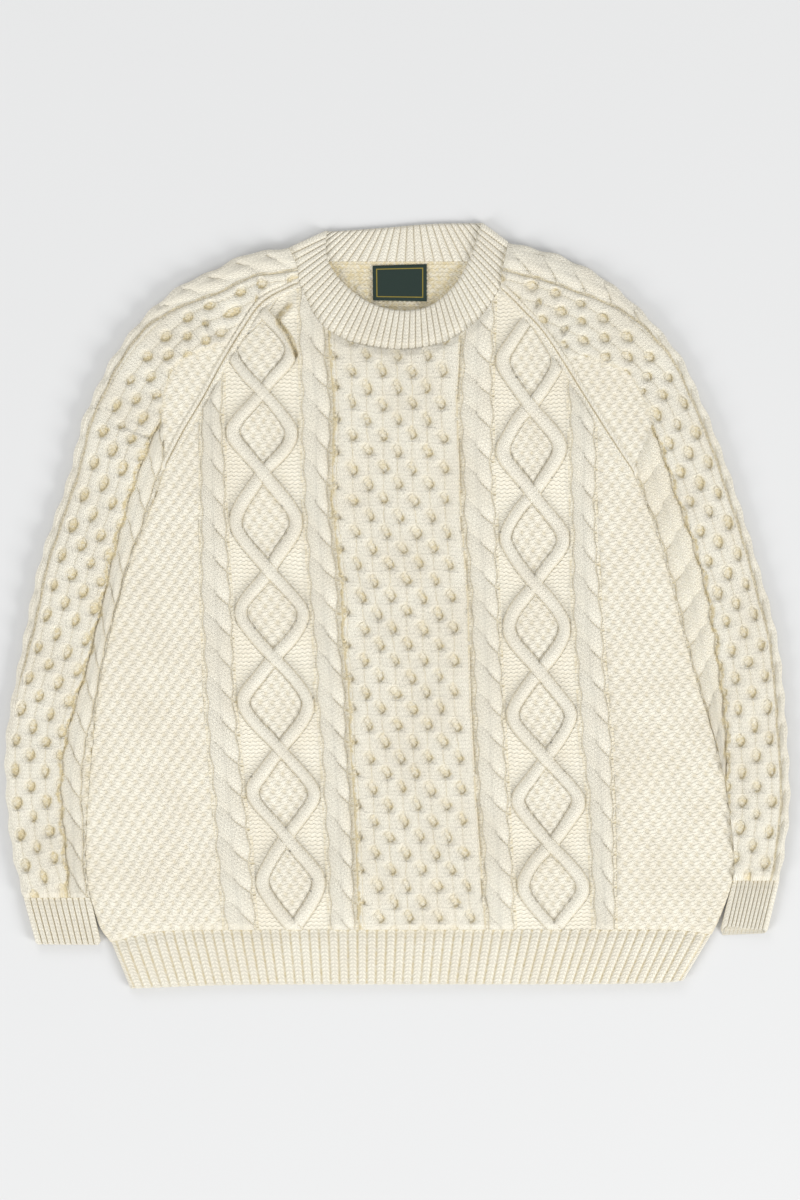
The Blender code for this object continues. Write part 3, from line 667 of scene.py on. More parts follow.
def filled(outline, grid_x, grid_y, clear):
    """Points, quads and triangles inside the counter-clockwise outline, whose own points come first."""
    rows, columns = grid_x.shape
    x, y = grid_x.ravel(), grid_y.ravel()
    keep = inside(x, y, outline)
    tree = KDTree(len(outline))
    for i, point in enumerate(outline):
        tree.insert((point[0], point[1], 0), i)
    tree.balance()
    closed = np.vstack([outline, outline[:1]])
    for i in np.nonzero(keep)[0]:
        if tree.find((x[i], y[i], 0))[2] < clear + 3:
            keep[i] = False
    unsure = inside(x, y, outline) & ~keep
    distance, _ = nearest(x[unsure], y[unsure], closed)
    keep[np.nonzero(unsure)[0][distance > clear]] = True
    keep = keep.reshape(rows, columns)
    cells = keep[:-1, :-1] & keep[1:, :-1] & keep[:-1, 1:] & keep[1:, 1:]
    for _ in range(6):
        around = np.pad(cells, 1).astype(int)
        beside = around[:-2, 1:-1] + around[2:, 1:-1] + around[1:-1, :-2] + around[1:-1, 2:]
        cells &= beside > 1
        around = np.pad(cells, 1)
        a, b, c, d = around[:-1, :-1], around[:-1, 1:], around[1:, :-1], around[1:, 1:]
        pinched = (a & d & ~b & ~c) | (b & c & ~a & ~d)
        cells &= ~(pinched[:-1, :-1] | pinched[1:, 1:] | pinched[:-1, 1:] | pinched[1:, :-1])
    i, j = np.nonzero(cells)
    first = i * columns + j
    corners = np.column_stack([first, first + 1, first + columns + 1, first + columns])
    used, numbers = np.unique(corners, return_inverse=True)
    quads = numbers.reshape(corners.shape)
    grid_points = np.column_stack([x[used], y[used]])
    turn = grid_points[quads]
    area = np.cross(turn[0, 1] - turn[0, 0], turn[0, 2] - turn[0, 0])
    if area < 0:
        quads = quads[:, ::-1]
    sides = np.vstack([quads[:, [k, (k + 1) % 4]] for k in range(4)])
    code = sides[:, 0] * len(used) + sides[:, 1]
    back = sides[:, 1] * len(used) + sides[:, 0]
    open_sides = sides[~np.isin(code, back)]
    following = dict(map(tuple, open_sides.tolist()))
    loops = []
    while following:
        start, point = following.popitem()
        loop = [start]
        while point != start:
            loop.append(point)
            point = following.pop(point)
        loops.append(loop)
    count = len(outline)
    points = [Vector(p) for p in outline]
    edges = closed_edges(0, count)
    rings = [list(range(count))]
    source = list(range(count))
    for loop in loops:
        begin = len(points)
        points += [Vector(grid_points[k]) for k in loop]
        source += [count + k for k in loop]
        edges += closed_edges(begin, len(loop))
        rings.append(list(range(begin, len(points))))
    band = [[source[k] for k in face] for face in owned_by_first(points, edges, rings)]
    return np.vstack([outline, grid_points]), quads + count, np.array(band)


def beyond(end, before, reach=40):
    """The place that a curve reaches when it goes on straight past its end."""
    return end + (end - before) * reach / np.linalg.norm(end - before)


def meeting(first, second, corner):
    """The end of the first curve and the start of the second, cut or lengthened to where they cross."""
    first = np.vstack([first, beyond(first[-1], first[-2])])
    second = np.vstack([beyond(second[0], second[1]), second])
    step_a, step_b = np.diff(first, axis=0)[:, None], np.diff(second, axis=0)[None]
    gap = second[None, :-1] - first[:-1, None]
    turn = step_a[..., 0] * step_b[..., 1] - step_a[..., 1] * step_b[..., 0]
    turn = np.where(np.abs(turn) < 1e-12, 1e-12, turn)
    s = (gap[..., 0] * step_b[..., 1] - gap[..., 1] * step_b[..., 0]) / turn
    t = (gap[..., 0] * step_a[..., 1] - gap[..., 1] * step_a[..., 0]) / turn
    hits = np.argwhere((s >= 0) & (s <= 1) & (t >= 0) & (t <= 1))
    if not len(hits):
        place = (first[-2] + second[1]) / 2
        return np.vstack([first[:-2], place]), np.vstack([place, second[2:]])
    places = first[hits[:, 0]] + step_a[hits[:, 0], 0] * s[hits[:, 0], hits[:, 1]][:, None]
    pick = np.linalg.norm(places - corner, axis=1).argmin()
    i, j = hits[pick]
    return np.vstack([first[: i + 1], places[pick]]), np.vstack([places[pick], second[j + 1 :]])


def ringed(runs, insets, step, counts=None):
    """A counter-clockwise outline from runs that meet end to end, each moved inwards, and each run's points.

    counts may give a run's number of pieces, so that two outlines can be joined point to point.
    """
    moved = [shifted(run, inset) for run, inset in zip(runs, insets)]
    for i, run in enumerate(runs):
        following = (i + 1) % len(runs)
        moved[i], moved[following] = meeting(moved[i], moved[following], run[-1])
    outline = []
    spans = []
    for number, run in enumerate(moved):
        points = resampled(run, counts[number]) if counts and counts[number] else spaced(run, step)
        spans.append([len(outline), len(points)])
        outline += list(points[:-1])
    size = len(outline)
    return np.array(outline), [(first + np.arange(count)) % size for first, count in spans]


class Cloth:
    """One piece of cloth as points, faces, and per corner what the wool's material reads."""

    def __init__(self):
        self.points = []
        self.size = 0
        self.faces = []
        self.fields = []

    def add_points(self, points):
        first = self.size
        self.points.append(np.asarray(points, float))
        self.size += len(points)
        return first

    def add_faces(self, faces, fields=None):
        """Faces with the same number of corners, and a dictionary of values per corner."""
        faces = np.asarray(faces, int)
        if not len(faces):
            return
        self.faces.append(faces)
        values = {}
        for name in FIELDS:
            value = (fields or {}).get(name, FAR if name in ("rim", "lap") else 0.0)
            values[name] = np.broadcast_to(value, faces.shape).ravel()
        self.fields.append(values)

    def knitted(self, faces, pattern, flip=False):
        """Faces whose corners get their fields from a pattern of (x, y, face_x, face_y)."""
        faces = np.asarray(faces, int)
        if not len(faces):
            return
        points = np.vstack(self.points)
        x, y = points[faces, 0], points[faces, 1]
        face_x = np.broadcast_to(x.mean(1)[:, None], x.shape)
        face_y = np.broadcast_to(y.mean(1)[:, None], y.shape)
        found = pattern(x.ravel(), y.ravel(), face_x.ravel(), face_y.ravel())
        fields = {name: found[name].reshape(faces.shape) for name in FIELDS if name in found}
        if flip:
            faces = faces[:, ::-1]
            fields = {name: value[:, ::-1] for name, value in fields.items()}
        self.add_faces(faces, fields)

    def layer(self, filling, height, pattern, flip=False):
        """Knits a filled outline at this height, and says the number of its first point."""
        points, *parts = filling
        first = self.add_points(np.column_stack([points, height]))
        for faces in parts:
            self.knitted(faces + first, pattern, flip)
        return first

    def object(self, name, material):
        """The cloth as one mesh object, with its stitch map and fields."""
        mesh = bpy.data.meshes.new(name)
        points = np.vstack(self.points) * MM
        mesh.vertices.add(len(points))
        mesh.vertices.foreach_set("co", points.astype(np.float32).ravel())
        corners = np.concatenate([faces.ravel() for faces in self.faces])
        totals = np.concatenate([np.full(len(faces), faces.shape[1]) for faces in self.faces])
        starts = np.concatenate([[0], np.cumsum(totals)[:-1]])
        mesh.loops.add(len(corners))
        mesh.loops.foreach_set("vertex_index", corners.astype(np.int32))
        mesh.polygons.add(len(totals))
        mesh.polygons.foreach_set("loop_start", starts.astype(np.int32))
        mesh.polygons.foreach_set("loop_total", totals.astype(np.int32))
        values = {key: np.concatenate([fields[key] for fields in self.fields]) for key in FIELDS}
        stitches = mesh.uv_layers.new(name="Stitches")
        places = np.column_stack([values["u"], values["v"]])
        stitches.data.foreach_set("uv", places.astype(np.float32).ravel())
        # The third value of edges is how much shade the material paints; the rise, in kind, makes it paint shade
        # where the cloth lies low.
        for attribute, keys in (("edges", ("rim", "lap", "deep_shade")), ("kind", ("moss", "purl", "rise"))):
            layer = mesh.attributes.new(attribute, "FLOAT_VECTOR", "CORNER")
            packed = np.column_stack([np.clip(values[key], -30, 30) for key in keys])
            layer.data.foreach_set("vector", packed.astype(np.float32).ravel())
        mesh.validate()
        mesh.update(calc_edges=True)
        mesh.shade_smooth()
        mesh.set_sharp_from_angle(angle=math.radians(75))
        made = bpy.data.objects.new(name, mesh)
        bpy.context.scene.collection.objects.link(made)
        mesh.materials.append(material)
        return made


# Materials.


class Sock:
    """A shader socket that takes part in Python arithmetic."""

    def __init__(self, net, socket):
        self.net = net
        self.socket = socket

    def math(self, operation, *others):
        return self.net.node("ShaderNodeMath", {"operation": operation}, [self, *others])

    def __add__(self, other):
        return self.math("ADD", other)

    def __sub__(self, other):
        return self.math("SUBTRACT", other)

    def __mul__(self, other):
        return self.math("MULTIPLY", other)

    def __truediv__(self, other):
        return self.math("DIVIDE", other)

    def __pow__(self, other):
        return self.math("POWER", other)

    def __radd__(self, other):
        return self + other

    def __rmul__(self, other):
        return self * other

    def __rsub__(self, other):
        return self.net.node("ShaderNodeMath", {"operation": "SUBTRACT"}, [other, self])

    def __rtruediv__(self, other):
        return self.net.node("ShaderNodeMath", {"operation": "DIVIDE"}, [other, self])

    def __abs__(self):
        return self.math("ABSOLUTE")

    def wave(self):
        """Cosine of this many turns."""
        return (self * (2 * math.pi)).math("COSINE")

    def fraction(self):
        return self.math("FRACT")

    def smallest(self, other):
        return self.math("MINIMUM", other)

    def largest(self, other):
        return self.math("MAXIMUM", other)

    def ramp(self, low, high):
        """0 below low and 1 above high, with soft ends."""
        return self.net.node(
            "ShaderNodeMapRange", {"interpolation_type": "SMOOTHSTEP", "clamp": True},
            {"Value": self, "From Min": low, "From Max": high, "To Min": 0.0, "To Max": 1.0},
        )


class Net:
    """The nodes of one material."""

    def __init__(self, name):
        self.material = bpy.data.materials.new(name)
        self.material.use_nodes = True
        self.tree = self.material.node_tree
        self.tree.nodes.clear()

    def node(self, kind, settings=None, sockets=None, output=0):
        made = self.tree.nodes.new(kind)
        for name, value in (settings or {}).items():
            setattr(made, name, value)
        pairs = enumerate(sockets) if isinstance(sockets, list) else (sockets or {}).items()
        for key, value in pairs:
            if isinstance(value, Sock):
                self.tree.links.new(value.socket, made.inputs[key])
            else:
                made.inputs[key].default_value = value
        return Sock(self, made.outputs[output]) if made.outputs else None

    def split(self, vector):
        parts = self.tree.nodes.new("ShaderNodeSeparateXYZ")
        self.tree.links.new(vector.socket, parts.inputs[0])
        return [Sock(self, out) for out in parts.outputs]

    def attribute(self, name):
        return self.split(self.node("ShaderNodeAttribute", {"attribute_name": name}, output="Vector"))

    def stitches(self):
        """Where a place is in the knitting, in columns and rows of stitches."""
        return self.split(self.node("ShaderNodeUVMap", {"uv_map": "Stitches"}))[:2]

    def place(self):
        return self.node("ShaderNodeTexCoord", output="Object")

    def mix(self, factor, first, second):
        """Two colours mixed."""
        made = self.tree.nodes.new("ShaderNodeMix")
        made.data_type = "RGBA"
        for index, value in ((0, factor), (6, first), (7, second)):
            if isinstance(value, Sock):
                self.tree.links.new(value.socket, made.inputs[index])
            elif index == 0:
                made.inputs[index].default_value = value
            else:
                made.inputs[index].default_value = (*value, 1)
        return Sock(self, made.outputs[2])

    def noise(self, place, scale, detail=2.0, roughness=0.5, distortion=0.0):
        return self.node(
            "ShaderNodeTexNoise", {}, {
                "Vector": place, "Scale": scale, "Detail": detail,
                "Roughness": roughness, "Distortion": distortion,
            },
        )

    def bump(self, height, distance, strength=1.0):
        return self.node("ShaderNodeBump", {}, {"Height": height, "Distance": distance, "Strength": strength})

    def finish(self, color, normal, constants):
        """The material, with this colour and surface and a principled shader's other values."""
        sockets = {"Base Color": color, "Normal": normal, **constants}
        shader = self.node("ShaderNodeBsdfPrincipled", {}, sockets)
        self.node("ShaderNodeOutputMaterial", {}, {"Surface": shader})
        return self.material


def scaled(color, share):
    return tuple(c * share for c in color)


def wool(name, look, shade=1.0):
    """Undyed wool: knit legs, purl bumps and moss by the stitch map, loose fibres, and painted shade in the
    hollows.
    """
    net = Net(name)
    u, v = net.stitches()
    rim, lap, deep_shade = net.attribute("edges")
    is_moss, is_purl, rise = net.attribute("kind")
    place = net.place()
    # A knit column: two rows of legs that lean towards each other.
    across = abs(u.fraction() - 0.5)
    leg = ((v - across * 1.3).wave() * 0.5 + 0.5).ramp(0.05, 0.85)
    column = (1 - ((across - 0.25) * 3.9) ** 2.0).largest(0.0) ** 0.7
    knit = leg * column
    # Purl: rows of short arcs.
    purl = ((v + u.wave() * 0.16).wave() * 0.5 + 0.5).ramp(0.0, 0.8) * ((v * 0.5 + u).wave() * 0.22 + 0.78)
    # Moss: knit and purl change places every stitch and every second row.
    swap = ((u * 0.5).wave() * (v * 0.25).wave()).ramp(-0.25, 0.25)
    bead = ((u - 0.5) * 0.5).wave() * (v * 0.25).wave() * 0.5 + 0.5
    mossy = (knit * (1 - swap) + purl * swap) * 0.6 + bead * 0.4
    stitch = knit * (1 - is_moss) * (1 - is_purl) + mossy * is_moss + purl * is_purl
    # Where two strands meet, a thin line is sunk in the bump and darkened with painted shade.
    line = (1 - abs(rim).ramp(0.1, look.line_width)).largest(1 - abs(lap).ramp(0.1, look.line_width))
    strands = net.noise(place, 520.0, 3.0, 0.6, 0.5)
    fuzz = net.noise(place, 1900.0, 2.0, 0.7)
    cloud = net.noise(place, 26.0, 2.0, 0.5)
    # Painted shade beside the sides of strands, and where the relief lies low.
    beside = (1 - abs(rim).ramp(0.0, 3.2)).largest(1 - abs(lap).ramp(0.0, 3.2))
    low = ((3.2 - rise) / 3.2).largest(0.0).smallest(3.0)
    is_knit = (1 - is_moss) * (1 - is_purl)
    gap = 1 - stitch
    shadow_spot = (1 - bead) ** 2.6
    # Painted shade: a soft shadow between stitches, and a warm brown shade where the cloth lies low.
    shadow = gap * (0.6 * is_knit + 0.42 * is_moss + 0.36 * is_purl)
    shadow = shadow + is_moss * (0.15 + 0.34 * shadow_spot) + beside * 0.26
    # The cloud noise adds broad soft patches of painted shade.
    shadow = (shadow + low * 0.13 + (strands - 0.5) * 0.5 + (cloud - 0.5) * 0.4).largest(0.0).smallest(1.0)
    blotch = net.noise(place, 300.0, 2.0, 0.6)
    hollow_shade = deep_shade * (0.9 + (blotch - 0.5) * 3.2 + (strands - 0.5) * 0.9) + line * 0.38 + gap * 0.03
    hollow_shade = hollow_shade.largest(0.0).smallest(1.0)
    base = net.mix(cloud.ramp(0.35, 0.7), scaled(look.wool, shade), scaled(look.wool_warm, shade))
    shaded = net.mix(shadow, base, scaled(look.wool_shadow, shade))
    hollow_shaded = net.mix(hollow_shade, shaded, scaled(look.hollow_shade, shade))
    bright = tuple(min(1.0, c * 1.12 * shade) for c in look.wool)
    fleck = net.mix((fuzz - 0.5).ramp(0.02, 0.3) * 0.4, hollow_shaded, bright)
    height = stitch * (0.6 * is_knit + 1.1 * is_moss + 0.8 * is_purl) * look.stitch_depth
    height = height - line * look.line_depth + (strands - 0.5) * 0.5 + (fuzz - 0.5) * 0.2
    return net.finish(fleck, net.bump(height, MM), {
        "Roughness": 0.93, "Specular IOR Level": 0.22, "Sheen Weight": 0.35, "Sheen Roughness": 0.6,
        "Sheen Tint": (1.0, 0.97, 0.9, 1.0),
    })


def woven_label(name, look):
    """Satin-woven label: dark green with one thin plain gold line all round, just inside its edge."""
    net = Net(name)
    u, v = net.stitches()
    place = net.place()
    threads = ((u * 128.0).wave() * 0.5 + 0.5) * 0.6 + ((v * 90.0 + u * 64.0).wave() * 0.5 + 0.5) * 0.4
    to_side = (0.5 - abs(u - 0.5)).smallest((0.5 - abs(v - 0.5)) * 0.7)
    band = 1 - abs(to_side - 0.075).ramp(0.006, 0.011)
    grain = net.noise(place, 900.0, 2.0)
    green = net.mix(threads * 0.6 + grain * 0.4, scaled(look.label, 0.75), scaled(look.label, 1.4))
    color = net.mix(band, green, look.gold)
    normal = net.bump(threads * 0.12 + band * 0.2, MM, 0.8)
    return net.finish(color, normal, {"Roughness": 0.7, "Specular IOR Level": 0.25, "Sheen Weight": 0.03})


# Properties.


class PulloverSizes(bpy.types.PropertyGroup):
    """Sizes that change how deep and how fine the knitting is."""

    cell: bpy.props.FloatProperty(
        name="Mesh cell", description="Width of one mesh cell on the front", default=0.00178, min=0.0012,
        unit="LENGTH",
    )
    back_cell: bpy.props.FloatProperty(
        name="Back mesh cell", description="Width of one mesh cell on the back", default=0.0027, min=0.0012,
        unit="LENGTH",
    )
    sleeve_cell: bpy.props.FloatProperty(
        name="Sleeve mesh cell", description="Width of one mesh cell on the sleeves", default=0.0015,
        min=0.001, unit="LENGTH",
    )
    loft: bpy.props.FloatProperty(
        name="Loft", description="How much the loose cloth swells between its edges", default=0.0014, min=0.0,
        unit="LENGTH",
    )
    rib_rise: bpy.props.FloatProperty(
        name="Rib rise", description="Height of a knit rib above the purl between ribs", default=0.0026,
        min=0.0, unit="LENGTH",
    )


class PulloverColors(bpy.types.PropertyGroup):
    """Colours of the wool and the label."""

    wool: bpy.props.FloatVectorProperty(
        name="Wool", description="Colour of the undyed wool", subtype="COLOR", default=(0.885, 0.845, 0.72)
    )
    wool_warm: bpy.props.FloatVectorProperty(
        name="Warm wool", description="Where the fleece was a little yellower", subtype="COLOR",
        default=(0.87, 0.815, 0.68),
    )
    wool_shadow: bpy.props.FloatVectorProperty(
        name="Wool shadow", description="Colour between neighbouring stitches", subtype="COLOR",
        default=(0.66, 0.615, 0.51),
    )
    # Painted shade: the warm brown that the material paints where the cloth lies low, in creases, gutters and
    # holes.
    hollow_shade: bpy.props.FloatVectorProperty(
        name="Hollow", description="Colour deep between the stitches", subtype="COLOR",
        default=(0.655, 0.55, 0.325),
    )
    label: bpy.props.FloatVectorProperty(
        name="Label", description="Ground of the woven label", subtype="COLOR", default=(0.014, 0.028, 0.022)
    )
    gold: bpy.props.FloatVectorProperty(
        name="Label line", description="Thread of the label's plain line", subtype="COLOR",
        default=(0.27, 0.21, 0.03),
    )
    floor: bpy.props.FloatVectorProperty(
        name="Floor", description="Colour of the floor", subtype="COLOR", default=(0.665, 0.665, 0.66)
    )
    stitch_depth: bpy.props.FloatProperty(
        name="Stitch depth", description="Height of a stitch's leg, in millimetres", default=1.1, min=0.0
    )
    line_depth: bpy.props.FloatProperty(
        name="Line depth", description="Depth of the line between two strands, in millimetres", default=0.8,
        min=0.0,
    )
    line_width: bpy.props.FloatProperty(
        name="Line width", description="Half width of the line between strands, in millimetres", default=1.1,
        min=0.2,
    )


# The pieces.


def body_outline(raglans, neckline, step):
    """The outline of the front or the back, whose side edges draw in a little below the armpits."""
    right, left = SIDES
    runs = [smooth(line, 4) for line in (HEM_SEAM, left.body, raglans[1])]
    runs += [smooth(line, 4)[::-1] for line in (neckline, raglans[0], right.body)]
    insets = [SEAM] * 6
    for number in (1, 5):
        length = lengths_along(runs[number])
        below_armpit = length[-1] - length if number == 1 else length
        insets[number] = SEAM - 0.42 * ramp(below_armpit, 4, 44)
    return ringed(runs, insets, step)


def body_grid(cell):
    """Grid lines that keep to the borders of the stitch panels."""
    rows = np.arange(-330, 345, STITCH_ROW / 2 * cell / 1.78)
    borders = panel_borders(rows)
    moss_cells = np.arange(1, int(150 / (1.3 * cell))) * 1.3 * cell
    lines = [borders[0] - reach for reach in moss_cells[::-1]]
    for start, end in zip(borders, borders[1:]):
        count = max(4, int(round(float((end - start).mean()) / cell)))
        lines += [start + (end - start) * k / count for k in range(count)]
    lines += [borders[-1]] + [borders[-1] + reach for reach in moss_cells]
    grid_x = np.array(lines).T
    return grid_x, np.broadcast_to(rows[:, None], grid_x.shape)


def side_distance(x, y):
    """Distance to the nearer of the body's two side edges."""
    return np.minimum(*[away_from(x, y, side.body) for side in SIDES])


def front_pattern(x, y, face_x, face_y):
    cloth = body_stitches(x, y, face_x, face_y)
    for side in SIDES:
        along_seam(cloth, smooth(side.raglan, 4), x, y, face_x, face_y)
    soften(cloth, NECK_FRONT, x, y, 7, 0.25)
    soften(cloth, HEM_SEAM, x, y, 6, 0.3)
    crease = away_from(x, y, CREASE, 6)
    edge = side_distance(x, y)
    # Painted shade in the fold beside the neck, with a painted line along it, and along the side edges.
    dark = np.maximum(0.8 * (1 - ramp(crease, 0.5, 4.4)), 0.25 * (1 - ramp(edge, 0.5, 4.5)))
    cloth["deep_shade"] = np.maximum(cloth["deep_shade"], dark)
    cloth["rim"] = np.minimum(cloth["rim"], 0.8 * crease)
    cloth["rise"] = cloth["rise"] - 5.5 * (1 - ramp(crease, 0.4, 4.2))
    return cloth


def front_height(x, y, loft):
    """Height of the front's outer side, with its relief, its soft rise and the fold beside the neck."""
    cloth = front_pattern(x, y, x, y)
    side_edge = side_distance(x, y)
    seams = [side.raglan for side in SIDES] + [NECK_FRONT, HEM_SEAM]
    seam = np.minimum.reduce([away_from(x, y, line) for line in seams])
    puff = loft * ramp(np.minimum(side_edge, seam * 1.5), 0, 45) + drape(x, y)
    crease_x, crease_y = np.array(CREASE[::-1], float).T
    right_of_crease = ramp(x - np.interp(y, crease_y, crease_x), -1, 4)
    fold = 4.6 * np.exp(-((away_from(x, y, CREASE, 6) / 12) ** 2)) * right_of_crease
    body = np.maximum(FRONT_WALL + puff + cloth["rise"] + fold, 1.2)
    edge = 0.9 + 3.5 * ramp(y, -292, -266)
    level = edge + (body - edge) * rounded(side_edge, 6)
    return UPPER_Z + np.minimum(level, sunk(body, seam))


def sunk(body, seam):
    """Relief that rounds down to a seam where it stands high."""
    low = np.minimum(body, 5.0)
    return low + (body - low) * rounded(seam, 2.0)


def make_front(sizes, look):
    """The front: its relief above, and one flat face below."""
    cell = sizes.cell / MM
    outline, _ = body_outline([side.raglan for side in SIDES], NECK_FRONT, cell * 1.1)
    filling = filled(outline, *body_grid(cell), cell * GRID_CLEARANCE)
    cloth = Cloth()
    cloth.layer(filling, front_height(*filling[0].T, sizes.loft / MM), front_pattern)
    ring = np.arange(len(outline))
    under = cloth.add_points(np.column_stack([outline, np.full(len(outline), UPPER_Z)]))
    # Painted shade on the side wall.
    cloth.add_faces(wall(ring, ring + under, flip=True), {"purl": 1, "deep_shade": 0.5})
    cloth.add_faces(cap(under, len(outline)), {"purl": 1})
    piece = cloth.object("front_knit", wool("panel_wool", look))
    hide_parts("front_panel")
    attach(piece, "root")


def back_pattern(x, y, face_x, face_y):
    cloth = body_stitches(x, y, face_x, face_y)
    for side in SIDES:
        along_seam(cloth, smooth(side.back_raglan, 8), x, y, face_x, face_y)
    return cloth


def pressed(cloth, deepest=2.0):
    """How far the underside stands off the floor: the raised stitches lie flat on it."""
    return np.clip(deepest - 0.62 * cloth["rise"], 0, deepest)


def inner_pattern(x, y, face_x, face_y):
    """The wrong side of the back: purl, with the honeycomb's strands showing as shallow dimples, all under
    painted shade.
    """
    cloth = body_stitches(x, y, face_x, face_y)
    return {
        **plain(x),
        # This rise shapes nothing: it only makes the material paint shade here, where the front lies over the
        # back.
        "rise": np.full_like(x, -8.0),
        "u": x / 4.4,
        "v": y / STITCH_ROW,
        "purl": np.ones_like(x),
        # Painted shade, stronger in the dimples.
        "deep_shade": 0.14 + 0.55 * ramp(cloth["rise"], 2.6, 4.3) + 1.1 * cloth["deep_shade"],
    }


def make_back(sizes, look):
    """The back, whose outer side lies on the floor and whose inner side shows in the neck opening."""
    cell = sizes.back_cell / MM
    outline, _ = body_outline([side.back_raglan for side in SIDES], NECK_BACK, cell)
    filling = filled(outline, *body_grid(cell), cell * GRID_CLEARANCE)
    x, y = filling[0].T
    low_edge = (BACK_WALL - 1.1) * (1 - rounded(side_distance(x, y), 8))
    cloth = Cloth()
    cloth.layer(filling, np.maximum(pressed(back_pattern(x, y, x, y)), low_edge), back_pattern, flip=True)
    count = len(outline)
    ring = np.arange(count)
    top = cloth.add_points(np.column_stack([outline, np.full(count, BACK_WALL)]))
    # Painted shade on the side wall.
    cloth.add_faces(wall(ring, ring + top), {"purl": 1, "deep_shade": 0.4})
    # The inner side: fine near the neck opening, where it shows.
    fine = 1.9
    window = np.array(NECK_WINDOW + NECK_WINDOW[:1], float)
    window_edge = spaced(window, fine)[:-1]
    wide, tall = np.arange(-110, 112, fine), np.arange(230, 330, STITCH_ROW / 2)
    filling = filled(window_edge, *np.meshgrid(wide, tall), fine * 0.5)
    x, y = filling[0].T
    relief = body_stitches(x, y, x, y)["rise"]
    dimple = 1.5 * ramp(relief, 1.0, 4.6) * ramp(nearest(x, y, window)[0], 0, 8)
    first = cloth.layer(filling, BACK_WALL - dimple, inner_pattern)
    # The rest of the inner side is one flat ring between the outline and that window.
    total = count + len(window_edge)
    points = [Vector(p) for p in (*outline, *window_edge)]
    edges = closed_edges(0, count) + closed_edges(count, len(window_edge))
    faces = owned_by_first(points, edges, [list(range(count)), list(range(count, total))])
    numbers = np.append(top + ring, first + np.arange(len(window_edge)))
    cloth.knitted(numbers[faces], inner_pattern)
    piece = cloth.object("back_knit", wool("back_wool", look, 0.98))
    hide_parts("back_panel")
    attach(piece, "root")


def rib_share(phase):
    """Height of a 1 x 1 rib from 0 in the purl to 1 on the knit column."""
    return (1 - np.abs(2 * (phase - np.floor(phase)) - 1) ** 3.8) ** 0.85


def rib_fields(phase, rows, length, dark):
    """Stitch map of a rib: a knit column per rib, with purl between, where dark sets how much shade is painted.
    """
    beside = np.abs(phase - np.round(phase))
    return {
        "u": (phase - 0.5) / 0.78 + 0.5,
        "v": rows * length / STITCH_ROW,
        "deep_shade": dark * (1 - ramp(beside, 0.02, 0.15)),
    }


def grid_faces(rows, columns, first, wrap_rows, wrap_columns):
    """Quads over a grid of points, closed round in either direction, and their corners' columns and rows."""
    i = np.arange(rows if wrap_rows else rows - 1)
    j = np.arange(columns if wrap_columns else columns - 1)
    i, j = np.meshgrid(i, j, indexing="ij")
    i, j = i.ravel(), j.ravel()
    i2, j2 = (i + 1) % rows, (j + 1) % columns
    corners = np.column_stack([i * columns + j, i * columns + j2, i2 * columns + j2, i2 * columns + j])
    return corners + first, np.column_stack([j, j + 1, j + 1, j]), np.column_stack([i, i, i + 1, i + 1])


def rib_grid(cloth, points, phase, shares, length, closed_around, dark, flip=False):
    """Adds a closed ribbed shell. points is rows x columns x 3, and the last row meets the first.

    phase counts the ribs along a row, and shares the rows' places as parts of the rib's length.
    """
    rows, columns, _ = points.shape
    first = cloth.add_points(points.reshape(-1, 3))
    faces, across, down = grid_faces(rows, columns, first, True, closed_around)
    phases = np.append(phase, phase[-1] + (phase[-1] - phase[-2]))[across]
    phases = phases - np.floor(phases.mean(1))[:, None]
    fields = rib_fields(phases, np.append(shares, shares[-1])[down], length, dark)
    if flip:
        faces = faces[:, ::-1]
        fields = {name: value[:, ::-1] for name, value in fields.items()}
    cloth.add_faces(faces, fields)
    if not closed_around:
        for column, turn in ((0, 1), (columns - 1, -1)):
            end = [first + row * columns + column for row in range(rows)][::turn]
            # Painted shade on the rib's closed ends.
            cloth.add_faces([end[::-1] if flip else end], {"purl": 1, "deep_shade": 0.5})


